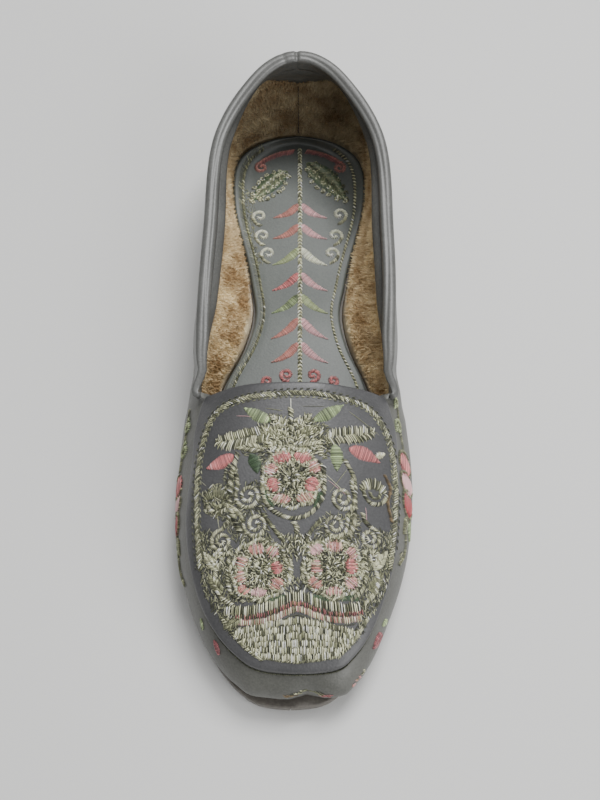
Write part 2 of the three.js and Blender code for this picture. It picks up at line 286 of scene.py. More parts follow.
# %% Floor
def new_material(name, **values):
    """A material and its shader, whose sockets are set by name."""
    material = bpy.data.materials.new(name)
    material.use_nodes = True
    shader = material.node_tree.nodes["Principled BSDF"]
    for key, value in values.items():
        shader.inputs[key.replace("_", " ")].default_value = value
    return material, shader


FLOOR_HALF, FLOOR_SINK = 1.6, 0.0002
FLOOR_COLOUR, WALL_COLOUR, WALL_GLOW = (0.72, 0.72, 0.71, 1), (1, 1, 1, 1), 0.23
corners = [(x * FLOOR_HALF, y * FLOOR_HALF, -FLOOR_SINK) for x, y in ((-1, -1), (1, -1), (1, 1), (-1, 1))]
floor_mesh = bpy.data.meshes.new("floor")
floor_mesh.from_pydata(corners, [], [(0, 1, 2, 3)])
floor_paint, _ = new_material("floor_paint", Base_Color=FLOOR_COLOUR, Roughness=0.9)
floor_mesh.materials.append(floor_paint)
floor = add_object("floor", floor_mesh)
print("floor:", 2 * FLOOR_HALF, "m across")


# %% Lamps and room
def area_lamp(name, place, aim, size, power):
    data = bpy.data.lights.new(name, "AREA")
    data.size = size
    data.energy = power
    lamp = add_object(name, data)
    lamp.location = place
    lamp.rotation_euler = (Vector(aim) - Vector(place)).to_track_quat("-Z", "Y").to_euler()
    return lamp


lamps = [
    area_lamp("key", (0.21, 0.36, 0.9), (0, -0.02, 0.02), 0.42, 9.5),
    area_lamp("fill", (0.55, -0.6, 0.45), (0, -0.02, 0.02), 0.6, 5.3),
    area_lamp("top", (-0.14, 0.06, 0.95), (0, 0, 0.02), 0.5, 2.2),
]
world = bpy.data.worlds.new("room")
world.use_nodes = True
backdrop = world.node_tree.nodes["Background"]
backdrop.inputs["Color"].default_value = WALL_COLOUR
backdrop.inputs["Strength"].default_value = WALL_GLOW
bpy.context.scene.world = world
print("lamps:", [(lamp.name, lamp.data.energy) for lamp in lamps])

# %% [markdown]
# ## Leather
# The grain is one shader group that several leathers share. It mixes cells and fine noise into a height for
# a bump, and gives a mottled tone for the colour. It reads Object coordinates, which are real metres here,
# so the grain has one size on every piece. A second group paints shade into a colour towards the heel,
# where the inside of the shoe is in shadow; the sock, the lining and the thread use it.


# %% Helpers for node trees
def new_group(name, kind, inputs, outputs):
    """A node group; inputs and outputs give each socket's kind and, where it has one, its first value."""
    group = bpy.data.node_groups.new(name, kind)
    for way, sockets in (("INPUT", inputs), ("OUTPUT", outputs)):
        for title, (socket_kind, *value) in sockets.items():
            made = group.interface.new_socket(name=title, in_out=way, socket_type="NodeSocket" + socket_kind)
            if value:
                made.default_value = value[0]
    return group, group.nodes.new("NodeGroupInput"), group.nodes.new("NodeGroupOutput")


def wire(group, *links):
    """Each link is a node, its output, the node that it feeds and that node's input."""
    for start, out, end, into in links:
        group.links.new(start.outputs[out], end.inputs[into])
    print(group.name, "has", len(group.nodes), "nodes")


def node(tree, kind, **values):
    made = tree.nodes.new(kind)
    for key, value in values.items():
        if key.startswith("in_"):
            made.inputs[key[3:].replace("_", " ")].default_value = value
        else:
            setattr(made, key, value)
    return made


# %% A node group for leather grain
grain, g_in, g_out = new_group(
    "LeatherGrain", "ShaderNodeTree",
    {"Cell Size": ("Float", 0.0008), "Depth": ("Float", 0.15)},
    {"Tone": ("Float",), "Normal": ("Vector",)},
)
place = node(grain, "ShaderNodeTexCoord")
scale = node(grain, "ShaderNodeMath", operation="DIVIDE")
scale.inputs[0].default_value = 1.0
cells = node(grain, "ShaderNodeTexVoronoi", feature="SMOOTH_F1", in_Smoothness=0.6)
pores = node(grain, "ShaderNodeTexNoise", in_Detail=3.0, in_Roughness=0.65)
cloud = node(grain, "ShaderNodeTexNoise", in_Scale=70.0, in_Detail=3.0)
mix = node(grain, "ShaderNodeMath", operation="MULTIPLY_ADD")
mix.inputs[1].default_value = 0.6
mottle = node(grain, "ShaderNodeMix", in_Factor=0.6)
bump = node(grain, "ShaderNodeBump", in_Distance=0.0004)
wire(
    grain,
    (place, "Object", cells, "Vector"), (place, "Object", pores, "Vector"),
    (place, "Object", cloud, "Vector"), (g_in, "Cell Size", scale, 1),
    (scale, 0, cells, "Scale"), (scale, 0, pores, "Scale"),
    (pores, "Fac", mix, 0), (cells, "Distance", mix, 2), (mix, 0, bump, "Height"),
    (g_in, "Depth", bump, "Strength"), (cloud, "Fac", mottle, "A"), (pores, "Fac", mottle, "B"),
    (mottle, "Result", g_out, "Tone"), (bump, "Normal", g_out, "Normal"),
)

# %% A node group for painted shade at the heel
heel_shade, w_in, w_out = new_group(
    "HeelPaintedShade", "ShaderNodeTree",
    {"Colour": ("Color",), "Start": ("Float", 0.08), "End": ("Float", 0.115), "Least": ("Float", 0.5)},
    {"Colour": ("Color",)},
)
at = node(heel_shade, "ShaderNodeTexCoord")
parts = node(heel_shade, "ShaderNodeSeparateXYZ")
# the Y coordinate sets how much painted shade a point gets
shade_share = node(heel_shade, "ShaderNodeMapRange", in_To_Min=1.0)
shaded_colour = node(heel_shade, "ShaderNodeVectorMath", operation="SCALE")
wire(
    heel_shade,
    (at, "Object", parts, "Vector"), (parts, "Y", shade_share, "Value"), (w_in, "Start", shade_share, "From Min"),
    (w_in, "End", shade_share, "From Max"), (w_in, "Least", shade_share, "To Max"), (w_in, "Colour", shaded_colour, "Vector"),
    (shade_share, "Result", shaded_colour, "Scale"), (shaded_colour, "Vector", w_out, "Colour"),
)


def add_heel_shade(tree, colour, start, end, least):
    """Paints shade into a colour towards the heel, from start to end in metres, down to a least share of it.
    """
    use = node(tree, "ShaderNodeGroup", node_tree=heel_shade)
    for name, value in (("Start", start), ("End", end), ("Least", least)):
        use.inputs[name].default_value = value
    tree.links.new(colour, use.inputs["Colour"])
    return use.outputs["Colour"]


# %% Leather materials
def two_tones(tree, factor, low, high, dark, light):
    """A colour that goes from dark to light as the factor goes from low to high."""
    ramp = node(tree, "ShaderNodeValToRGB")
    for element, position, colour in zip(ramp.color_ramp.elements, (low, high), (dark, light)):
        element.position, element.color = position, (*colour, 1)
    tree.links.new(factor, ramp.inputs["Fac"])
    return ramp.outputs["Color"]


def leather(name, dark, light, roughness, depth=0.15, cell=0.0008, heel_shade_at=None):
    """dark and light are the two ends of its tone; the last argument is the start, end and least share of the
    shade painted towards its heel.
    """
    material, skin = new_material(name, Roughness=roughness, Coat_Weight=0.15, Coat_Roughness=0.4)
    tree = material.node_tree
    use = node(tree, "ShaderNodeGroup", node_tree=grain)
    use.inputs["Cell Size"].default_value = cell
    use.inputs["Depth"].default_value = depth
    colour = two_tones(tree, use.outputs["Tone"], 0.38, 0.62, dark, light)
    if heel_shade_at:
        colour = add_heel_shade(tree, colour, *heel_shade_at)
    tree.links.new(colour, skin.inputs["Base Color"])
    tree.links.new(use.outputs["Normal"], skin.inputs["Normal"])
    return material


UPPER_LEATHER = leather("upper_leather", (0.077, 0.078, 0.069), (0.114, 0.115, 0.102), 0.45)
APRON_LEATHER = leather("apron_leather", (0.054, 0.054, 0.056), (0.077, 0.077, 0.079), 0.43)
BINDING_LEATHER = leather("binding_leather", (0.08, 0.081, 0.077), (0.118, 0.119, 0.113), 0.42, 0.1)
# the sock's colour is painted darker towards the heel, as shade
INSOLE_HEEL_SHADE = (0.088, 0.118, 0.45)
INSOLE_LEATHER = leather(
    "insole_leather", (0.085, 0.096, 0.088), (0.111, 0.124, 0.113), 0.5, 0.12, heel_shade_at=INSOLE_HEEL_SHADE,
)
SOLE_LEATHER = leather("outsole_leather", (0.095, 0.086, 0.074), (0.15, 0.137, 0.118), 0.6, 0.2, 0.0012)
FACING_LEATHER = leather("facing_leather", (0.06, 0.061, 0.057), (0.1, 0.101, 0.095), 0.5)
print("leathers:", [m.name for m in bpy.data.materials if m.name.endswith("leather")])

# %% [markdown]
# ## From sections to a mesh
# Each piece is a row of closed sections, joined section to section, like ribs covered with a skin. The
# helper turns the faces outwards by checking the sign of the volume.


# %% Skin a row of sections
def sections_mesh(name, sections, materials, closed=False, material_of=None):
    """material_of(j) gives the material slot of the faces that start at point j of a section."""
    count = len(sections[0])
    points = np.array([p for section in sections for p in section]) * MM
    faces, slots = [], []
    for i in range(len(sections) if closed else len(sections) - 1):
        here, there = i * count, (i + 1) % len(sections) * count
        for j in range(count):
            k = (j + 1) % count
            faces.append((here + j, here + k, there + k, there + j))
            slots.append(material_of(j) if material_of else 0)
    if not closed:
        faces.append(tuple(reversed(range(count))))
        faces.append(tuple((len(sections) - 1) * count + j for j in range(count)))
        slots += [0, 0]
    quads = np.array([f for f in faces if len(f) == 4])
    a, b, c, d = (points[quads[:, n]] for n in range(4))
    volume = (np.einsum("ij,ij->i", a, np.cross(b, c)) + np.einsum("ij,ij->i", a, np.cross(c, d))).sum()
    if volume < 0:
        faces = [tuple(reversed(f)) for f in faces]
    mesh = bpy.data.meshes.new(name)
    mesh.from_pydata([tuple(p) for p in points], [], faces)
    for material in materials:
        mesh.materials.append(material)
    mesh.polygons.foreach_set("material_index", slots)
    mesh.polygons.foreach_set("use_smooth", [True] * len(faces))
    mesh.update()
    return add_object(name, mesh)


def place_piece(piece, slot, *nodes):
    """Every piece rides on the one body, and may stand for frame nodes."""
    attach(piece, "root")
    if nodes:
        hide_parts(*nodes)
    tris = sum(len(p.vertices) - 2 for p in piece.data.polygons)
    print(piece.name, "has", tris, "triangles and stands for", nodes or "nothing in the frame")
    return piece


def spread(start, end, steps):
    return [start + (end - start) * i / steps for i in range(steps + 1)]


# %% [markdown]
# ## Sole and insole
# Both are slabs that follow the feather line, with rounded edges. The insole is a padded sock: it is
# crowned across, a stitched channel runs inside its edge, and round the heel the edge is turned up. A
# bevelled box would be quicker, but rims worked out from the last keep the edge at one distance from the
# wall all round.

# %% Slab of rounded levels
SLAB_STEPS, ACROSS, ACROSS_BELOW = 150, 28, 8
SLAB_TIP, LEAST_HALF = 0.003, 0.3


def slab_mesh(name, material, rims, top_height):
    """rims give x, y, half width and z at each level of the edge; top_height lifts the top."""
    sections = []
    for station in spread(SLAB_TIP, 1 - SLAB_TIP, SLAB_STEPS):
        rows = [rim(station) for rim in rims]
        right = [(x + half, y, z) for x, y, half, z in rows]
        left = [(x - half, y, z) for x, y, half, z in reversed(rows)]
        x, y, half, z = rows[-1]
        top = [(x + s * half, y, z + top_height(station, s)) for s in spread(1, -1, ACROSS)[1:-1]]
        x, y, half, z = rows[0]
        bottom = [(x + s * half, y, z) for s in spread(-1, 1, ACROSS_BELOW)[1:-1]]
        sections.append(right + top + left + bottom)
    return sections_mesh(name, sections, [material])


print("a slab has", SLAB_STEPS + 1, "sections")

# %% Outsole
SOLE_MARGIN, SOLE_TOE_MARGIN, SOLE_ROUND = 1.2, -1, 0.8
SOLE_TIP_SHIFT, SOLE_TIP_POWER = -2.6, 4
SOLE_TOP_BEVEL = [(0, 0.5), (0.15, 0.15), (0.5, 0)]
HEEL_TIP_SPAN = 0.03


def sole_rim(inset, height):
    def rim(station):
        y = lengthwise(FEATHER_ENDS[0] - SOLE_MARGIN + inset, inset, station)
        toeward = smooth((station - CORNER["station"]) / (1 - CORNER["station"]))
        x = level("swing", station) + SOLE_TIP_SHIFT * toeward**SOLE_TIP_POWER
        margin = SOLE_MARGIN + (SOLE_TOE_MARGIN - SOLE_MARGIN) * toeward
        half = width("feather", station) + (margin - inset) * smooth(station / HEEL_TIP_SPAN)
        return x, y, max(half, LEAST_HALF), sole_bottom(y) + height
    return rim


sole_rims = [
    sole_rim(SOLE_ROUND * (1 - math.sin(a)), SOLE_ROUND * (1 - math.cos(a)))
    for a in spread(0, math.pi / 2, 4)
]
sole_rims.append(sole_rim(0, SOLE_THICKNESS / 2))
sole_rims += [sole_rim(inset, SOLE_THICKNESS - below) for inset, below in SOLE_TOP_BEVEL]
outsole = slab_mesh("outsole_leather_slab", SOLE_LEATHER, sole_rims, lambda station, share: 0)
place_piece(outsole, "outsole_leather", "outsole")

# %% Insole sock
INSOLE_THICKNESS, INSOLE_INSET, INSOLE_CROWN = 3.2, 3, 0.7
INSOLE_ROUND, INSOLE_EDGE_RISE = 1.2, 1.2
CHANNEL_INSET, CHANNEL_DEPTH, CHANNEL_WIDTH = 3.4, 0.22, 0.7
TURN_UP, TURN_OUT, TURN_WIDTH, TURN_START, TURN_FULL = 3.4, 0.7, 2.8, 0.36, 0.2


def turned_up(station):
    """How far the sock's edge is turned up, as a share: all of it round the heel, none from the waist on."""
    return smooth((TURN_START - station) / (TURN_START - TURN_FULL))


def insole_rim(inset, height):
    def rim(station):
        turn = turned_up(station) if height else 0
        setback = INSOLE_INSET + inset - TURN_OUT * turn
        y = lengthwise(FEATHER_ENDS[0] + setback, FEATHER_ENDS[1] + setback, station)
        half = max(width("feather", station) - setback, LEAST_HALF)
        return level("swing", station), y, half, sole_top(y) + GAP + height + TURN_UP * turn
    return rim


def insole_relief(station, share):
    half = max(width("feather", station) - INSOLE_INSET - INSOLE_ROUND, LEAST_HALF)
    from_heel = LENGTH / 2 - FEATHER_ENDS[0] - INSOLE_INSET - INSOLE_ROUND
    from_heel -= lengthwise(FEATHER_ENDS[0] + INSOLE_INSET + INSOLE_ROUND, FEATHER_ENDS[1], station)
    inwards = half * (1 - abs(share))
    from_edge = min(inwards, from_heel + inwards / 2)
    channel = CHANNEL_DEPTH * bell((from_edge - CHANNEL_INSET + INSOLE_ROUND) / CHANNEL_WIDTH)
    level_again = TURN_UP * turned_up(station) * (1 - bell(from_edge / TURN_WIDTH))
    return INSOLE_CROWN * (1 - share**2) - channel - level_again


insole_rims = [insole_rim(0, 0), insole_rim(0, INSOLE_EDGE_RISE)]
insole_rims += [
    insole_rim(INSOLE_ROUND * (1 - math.cos(a)), INSOLE_THICKNESS - INSOLE_ROUND * (1 - math.sin(a)))
    for a in spread(0, math.pi / 2, 5)
]
insole = slab_mesh("insole_sock", INSOLE_LEATHER, insole_rims, insole_relief)
place_piece(insole, "insole_leather", "insole")

# %% [markdown]
# ## The upper
# One wall of leather and lining, closed round both edges. Creases are placed as soft troughs: a
# line on the surface from one loop and profile value to another, with a depth and a width in millimetres.
# Sculpting them would be freer, but a line in a table can be moved or softened by itself.

# %% Creases
CREASE_COLUMNS = ("loop0", "v0", "loop1", "v1", "depth", "width")
CREASES = [
    (0.955, 0.10, 0.985, 0.42, 0.35, 2.4),
    (1.03, 0.12, 1.05, 0.44, 0.3, 2.6),
    (0.90, 0.08, 0.93, 0.36, 0.2, 2.2),
    (1.09, 0.10, 1.07, 0.34, 0.22, 2.4),
    (0.50, 0.30, 0.56, 0.62, 0.35, 3.0),
    (0.53, 0.22, 0.60, 0.48, 0.25, 2.6),
    (1.50, 0.28, 1.44, 0.60, 0.35, 3.0),
    (1.47, 0.20, 1.41, 0.46, 0.25, 2.6),
    (0.36, 0.20, 0.42, 0.70, 0.3, 4.0),
    (1.63, 0.22, 1.58, 0.72, 0.3, 4.0),
    (0.10, 0.10, 0.16, 0.45, 0.2, 3.5),
    (1.90, 0.12, 1.85, 0.48, 0.2, 3.5),
]
CREASE_REACH, RIDGE_AT, RIDGE_SHARE = 3, 1.6, 0.5
FADE_START, FADE_SPAN = 0.15, 0.7
crease_lines = []
for row in CREASES:
    crease = dict(zip(CREASE_COLUMNS, row))
    crease["a"] = outside(crease["loop0"], crease["v0"])
    crease["b"] = outside(crease["loop1"], crease["v1"])
    crease_lines.append(crease)


def crease_depth(point):
    total = 0.0
    for crease in crease_lines:
        run = crease["b"] - crease["a"]
        t = min(1.0, max(0.0, float(np.dot(point - crease["a"], run) / np.dot(run, run))))
        away = np.linalg.norm(point - crease["a"] - run * t)
        if away < CREASE_REACH * crease["width"]:
            fade = math.sin(math.pi * (FADE_START + FADE_SPAN * t))
            ridge = RIDGE_SHARE * bell((away - RIDGE_AT * crease["width"]) / crease["width"])
            total += crease["depth"] * fade * (bell(away / crease["width"]) - ridge)
    return total


print("creases:", len(crease_lines))


# %% Sections of the wall
def loop_values(steps):
    """Loop values round the shoe with one at each throat corner."""
    corner = CORNER["station"]
    rear = round(steps * corner / 2)
    half = spread(0, corner, rear) + spread(corner, 1, steps // 2 - rear)[1:]
    return half + [2 - s for s in reversed(half[1:-1])]


LOOPS = 220
v_rows = spread(FEATHER, GIRTH, 8)[:-1] + spread(GIRTH, SHOULDER, 10)[:-1] + spread(SHOULDER, EDGE, 16)
sections = []
for loop in loop_values(LOOPS):
    skin = []
    for v in v_rows:
        point = outside(loop, v)
        skin.append(point - normal(loop, v) * crease_depth(point))
    lining = [shell(loop, v, -WALL) for v in v_rows[1:]]
    inward = normal(loop, FEATHER) * (1, 1, 0)
    foot = outside(loop, FEATHER) - inward / np.linalg.norm(inward) * WALL
    sections.append(skin + lining[::-1] + [foot])
print("sections of the wall:", len(sections), "with", len(sections[0]), "points in each")

# %% Lining cloth under the pile, with shade painted in towards the heel
LINING_HEEL_SHADE = (0.08, 0.115, 0.5)
LEATHER_ROWS = 6


def plush_material(name, dark, light, roughness):
    material, cloth = new_material(
        name, Roughness=roughness, Sheen_Weight=0.5, Sheen_Roughness=0.4, Sheen_Tint=(1, 0.85, 0.65, 1),
    )
    tree = material.node_tree
    at = node(tree, "ShaderNodeTexCoord")
    patches = node(tree, "ShaderNodeTexNoise", in_Scale=110.0, in_Detail=3.0, in_Roughness=0.55)
    tree.links.new(at.outputs["Object"], patches.inputs["Vector"])
    colour = two_tones(tree, patches.outputs["Fac"], 0.34, 0.64, dark, light)
    tree.links.new(add_heel_shade(tree, colour, *LINING_HEEL_SHADE), cloth.inputs["Base Color"])
    return material


PLUSH = plush_material("plush_pile", (0.43, 0.28, 0.13), (0.93, 0.78, 0.49), 0.8)
upper = sections_mesh(
    "upper_wall", sections, [UPPER_LEATHER, PLUSH], closed=True,
    material_of=lambda j: 0 if j < len(v_rows) + LEATHER_ROWS else 1,
)
place_piece(upper, "upper_leather", "upper")

# %% [markdown]
# ## The collar binding
# A strip folded over the top of the wall. Its edge is not quite round: a shallow groove runs along it,
# where the leather is turned in against the lining. At the heel the strip has a nick over the back seam and
# one small fold. A bevelled curve would give a plain roll; sections leave the slot that the wall sits in.

# %% Binding with a shallow groove
BINDING_THICKNESS, BINDING_CLEARANCE, BINDING_DROP, BINDING_RISE = 1.0, 0.5, 5.5, 1.9
GROOVE_AT, GROOVE_DEPTH, GROOVE_WIDTH = -0.5, 0.3, 0.6
BINDING_END, BINDING_TAPER = CORNER["station"] - 0.004, 0.06
THIN_SHARE, NEAR_SHARE, THIN_RISE = 0.1, 0.2, 0.5
ROLL_POWER, PULL_IN, SLOT_RISE = 0.75, 0.3, 0.15
ROLL_STEPS, SLOT_STEPS, BINDING_STEPS = 20, 4, 230
NICK_LOOP, NICK_DEPTH, NICK_WIDTH = -0.006, 0.9, 0.006
FOLD_LOOP, FOLD_DEPTH, FOLD_WIDTH = -0.055, 0.35, 0.007


def binding_section(loop):
    run = np.linalg.norm(outside(loop, EDGE) - outside(loop, SHOULDER))
    drop = EDGE - (EDGE - SHOULDER) * BINDING_DROP / run
    rows = spread(drop, EDGE, 5)
    up = outside(loop, EDGE) - outside(loop, EDGE - SLOPE_STEP)
    up = up / np.linalg.norm(up)
    out = normal(loop, EDGE)
    middle = shell(loop, EDGE, -WALL / 2) + up * GAP
    pulled = NICK_DEPTH * bell((loop - NICK_LOOP) / NICK_WIDTH)
    pulled += FOLD_DEPTH * bell((loop - FOLD_LOOP) / FOLD_WIDTH)
    full = smooth((BINDING_END - abs(loop)) / BINDING_TAPER)

    def fold(clearance, rise, groove, steps):
        reach = WALL / 2 + clearance
        roll = []
        for angle in spread(0, math.pi, steps):
            side = reach * math.cos(angle)
            lift = rise * math.sin(angle) ** ROLL_POWER - groove * bell((side - GROOVE_AT) / GROOVE_WIDTH)
            roll.append(middle + out * side + up * lift)
        return (
            [shell(loop, v, clearance) for v in rows] + roll
            + [shell(loop, v, -WALL - clearance) for v in reversed(rows)]
        )

    thick = BINDING_THICKNESS * (THIN_SHARE + (1 - THIN_SHARE) * full)
    clearance = BINDING_CLEARANCE * (NEAR_SHARE + (1 - NEAR_SHARE) * full)
    rise = THIN_RISE + (BINDING_RISE - THIN_RISE) * full - pulled
    skin = fold(clearance + thick - PULL_IN * pulled, rise, GROOVE_DEPTH * full, ROLL_STEPS)
    slot = fold(clearance, SLOT_RISE, 0, SLOT_STEPS)
    return skin + slot[::-1]


binding_sections = [binding_section(loop) for loop in spread(-BINDING_END, BINDING_END, BINDING_STEPS)]
binding = sections_mesh("collar_binding_roll", binding_sections, [BINDING_LEATHER])
place_piece(binding, "binding_leather", "collar_binding")

# %% [markdown]
# ## The leather facing inside the collar
# Below the binding a strip of leather covers the plush all round the mouth, deepest at the back seam. It is
# padded along the sides, so it swells between its two edges and shows as one more roll inside the binding.
# A cloth simulation could fill it, but it is sewn down on both edges, and a swell in its sections is
# enough.

# %% Collar facing
# loop value, depth below the top edge
FACING = [
    (0, 19), (0.05, 15.5), (0.09, 10), (0.14, 8.2), (0.2, 8.6), (0.3, 9.8), (0.4, 11.2), (0.46, 12.2),
    (0.5, 11.4), (0.54, 6.4),
]
FACING_OUT, FACING_EDGE, FACING_LEAST = -WALL - 0.25, 0.45, 0.15
FACING_TOP, FACING_END, FACING_ROWS = 2, 0.53, 12
SIDE_START, SIDE_SPAN, END_SPAN = 0.12, 0.12, 0.08
SWELL_POWER, DROP_STEPS = 1.4, 40
HEEL_SWELL, SIDE_SWELL = 0.9, 3.2


def facing_depth(loop):
    return float(np.interp(abs(loop), [r[0] for r in FACING], [r[1] for r in FACING]))


def drop_to_v(loop, drop):
    """Profile value this many millimetres below the top edge."""
    points = [outside(loop, v) for v in spread(EDGE, GIRTH, DROP_STEPS)]
    gone = 0.0
    for i in range(DROP_STEPS):
        step = np.linalg.norm(points[i + 1] - points[i])
        if gone + step >= drop:
            return EDGE - (EDGE - GIRTH) * (i + (drop - gone) / step) / DROP_STEPS
        gone += step
    return GIRTH


facing_sections = []
for loop in spread(-FACING_END, FACING_END, 140):
    rows = spread(drop_to_v(loop, facing_depth(loop)), drop_to_v(loop, FACING_TOP), FACING_ROWS)
    sideways = smooth((abs(loop) - SIDE_START) / SIDE_SPAN) * smooth((FACING_END - abs(loop)) / END_SPAN)
    swell = HEEL_SWELL + (SIDE_SWELL - HEEL_SWELL) * sideways
    inner = []
    for v, share in zip(rows, spread(0, 1, FACING_ROWS)):
        thick = FACING_EDGE * min(1, 4 * share) + swell * math.sin(math.pi * share**SWELL_POWER)
        inner.append(shell(loop, v, FACING_OUT - max(FACING_LEAST, thick)))
    outer = [shell(loop, v, FACING_OUT) for v in rows]
    facing_sections.append(inner + outer[::-1])
facing = sections_mesh("collar_facing", facing_sections, [FACING_LEATHER])
place_piece(facing, "binding_leather")

# %% [markdown]
# ## The apron
# The panel that carries the embroidery lies on the vamp. Its edge is folded under, so the top rolls down to
# the vamp over a quarter circle all round, and the throat edge stands a little proud of the upper. A
# Solidify modifier would keep one thickness to the rim; here both faces are worked out, so the rim thins.

# %% Apron shell
APRON_THICKNESS, APRON_OVERHANG, APRON_START = 1.5, 0.5, CORNER["station"] + 0.01
APRON_ROLL, APRON_FOOT, OVERHANG_FADE = 1.4, 0.05, 3
APRON_ROWS = 34


def apron_edge_v(loop):
    from_corner = min(loop, 2 - loop) - CORNER["station"]
    return EDGE + (SHOULDER - EDGE) * math.sqrt(smooth(from_corner / CORNER_SPAN))


def quarter_round(distance):
    t = min(1.0, max(0.0, distance / APRON_ROLL))
    return math.sqrt(1 - (1 - t) ** 2)


apron_sections = []
for loop in spread(APRON_START, 2 - APRON_START, 180):
    low = apron_edge_v(loop)
    shares = [0.5 - 0.5 * math.cos(math.pi * s) for s in spread(0, 1, APRON_ROWS)]
    rows = [low + (EDGE - low) * s for s in shares]
    line = [outside(loop, v) for v in rows]
    walked = np.concatenate([[0], np.cumsum([np.linalg.norm(b - a) for a, b in zip(line, line[1:])])])
    top, under = [], []
    for v, near, base in zip(rows, walked, line):
        edge_distance = min(near, walked[-1] - near + APRON_OVERHANG)
        n = normal(loop, v)
        back = np.array([0, APRON_OVERHANG * smooth(1 - (walked[-1] - near) / OVERHANG_FADE), 0])
        rise = APRON_FOOT + (APRON_THICKNESS - APRON_FOOT) * quarter_round(edge_distance)
        top.append(base + back + n * (GAP + rise))
        under.append(base + back + n * GAP)
    apron_sections.append(top + under[::-1])
apron = sections_mesh("apron_panel", apron_sections, [APRON_LEATHER])
place_piece(apron, "apron_leather", "apron")

# %% [markdown]
# ## Thread
# Every stitch is a short line that dips into the leather at both ends and swells between them. The lines
# are charted in millimetres, draped over a piece, and kept as loose edges with a thickness and a colour on
# each point. One Geometry Nodes tree then turns all of a piece's lines into tubes at once. Painting the
# pattern on would be quicker, but thread this thick throws shadows, and the shadows are most of what makes
# it look sewn.

# %% A tree that makes tubes from lines
tubes, t_in, t_out = new_group(
    "ThreadTubes", "GeometryNodeTree",
    {"Geometry": ("Geometry",), "Fineness": ("Float", 1.0), "Sides": ("Int", 4), "Thread": ("Material",)},
    {"Geometry": ("Geometry",)},
)
lines = node(tubes, "GeometryNodeMeshToCurve")
thickness = node(tubes, "GeometryNodeInputNamedAttribute", data_type="FLOAT", in_Name="thickness")
finer = node(tubes, "ShaderNodeMath", operation="MULTIPLY")
ring = node(tubes, "GeometryNodeCurvePrimitiveCircle", in_Radius=1.0)
tube = node(tubes, "GeometryNodeCurveToMesh")
shade = node(tubes, "GeometryNodeSetShadeSmooth")
real = node(tubes, "GeometryNodeRealizeInstances")
paint = node(tubes, "GeometryNodeSetMaterial")
wire(
    tubes,
    (t_in, "Geometry", lines, "Mesh"), (lines, "Curve", tube, "Curve"), (thickness, "Attribute", finer, 0),
    (t_in, "Fineness", finer, 1), (finer, 0, tube, "Scale"), (t_in, "Sides", ring, "Resolution"),
    (ring, "Curve", tube, "Profile Curve"), (tube, "Mesh", shade, "Geometry"),
    (shade, "Geometry", real, "Geometry"), (real, "Geometry", paint, "Geometry"),
    (t_in, "Thread", paint, "Material"), (paint, "Geometry", t_out, "Geometry"),
)


def run_tree(piece, tree, **values):
    """Runs a tree on a piece, with inputs given by name, and keeps the result as a plain mesh."""
    modifier = piece.modifiers.new(tree.name, "NODES")
    modifier.node_group = tree
    for item in tree.interface.items_tree:
        if item.item_type == "SOCKET" and item.in_out == "INPUT" and item.name in values:
            modifier[item.identifier] = values[item.name]
    seen = piece.evaluated_get(bpy.context.evaluated_depsgraph_get())
    made = bpy.data.meshes.new_from_object(seen)
    piece.modifiers.clear()
    piece.data = made
    return piece


# %% [markdown]
# Thread takes its colour from the tint on its points, and the tint's alpha says how metallic it is: the
# cream and olive threads are wound with metal, and the pinks and greens are silk. Each stitch differs a
# little in tone, the metal ones most, because a wound thread catches the light in one place and not in the
# next.

# %% Thread material and colours
THREAD, yarn = new_material("embroidery_thread", Roughness=0.4, Sheen_Weight=0.15)
thread_tree = THREAD.node_tree
tint_node = node(thread_tree, "ShaderNodeAttribute", attribute_name="tint")
# thread near the heel gets the same painted shade as the sock
shaded_tint = add_heel_shade(thread_tree, tint_node.outputs["Color"], *INSOLE_HEEL_SHADE)
thread_tree.links.new(shaded_tint, yarn.inputs["Base Color"])
thread_tree.links.new(tint_node.outputs["Alpha"], yarn.inputs["Metallic"])
# colour, spread of tone, metal
PALETTE = {
    "cream": ((0.5, 0.5, 0.33), 0.5, 0.35),
    "bright": ((0.77, 0.76, 0.52), 0.36, 0.3),
    "white": ((0.87, 0.89, 0.68), 0.15, 0.0),
    "olive": ((0.2, 0.205, 0.12), 0.5, 0.4),
    "dark": ((0.05, 0.053, 0.03), 0.3, 0.2),
    "brown": ((0.19, 0.135, 0.07), 0.4, 0.3),
    "pink": ((0.58, 0.19, 0.185), 0.34, 0.0),
    "rose": ((0.55, 0.24, 0.2), 0.2, 0.0),
    "blush": ((0.72, 0.42, 0.43), 0.15, 0.0),
    "red": ((0.4, 0.055, 0.06), 0.25, 0.0),
    "wine": ((0.3, 0.1, 0.1), 0.25, 0.0),
    "dusk": ((0.25, 0.08, 0.085), 0.4, 0.0),
    "green": ((0.27, 0.335, 0.17), 0.48, 0.0),
    "pale_green": ((0.4, 0.46, 0.25), 0.2, 0.1),
    "dark_green": ((0.06, 0.1, 0.05), 0.25, 0.0),
}
# in zari and ground the dark threads are painted shade for the gaps between stitches, and the bright one in
# zari is a painted glint
BLENDS = {
    "zari": ["cream", "cream", "bright", "olive", "dark"],
    "pale_zari": ["bright", "bright", "cream", "olive"],
    "ground": ["olive", "olive", "dark", "dark", "cream"],
    "petal": ["rose", "rose", "blush", "cream"],
    "rosy": ["rose", "rose", "blush", "brown"],
    "russet": ["wine", "brown", "rose"],
    "plait": ["olive", "olive", "cream"],
    "chain": ["bright", "cream", "cream", "olive"],
    "pearl": ["white", "bright", "bright", "bright", "olive"],
}
print("thread colours:", ", ".join(PALETTE), "and blends:", ", ".join(BLENDS))

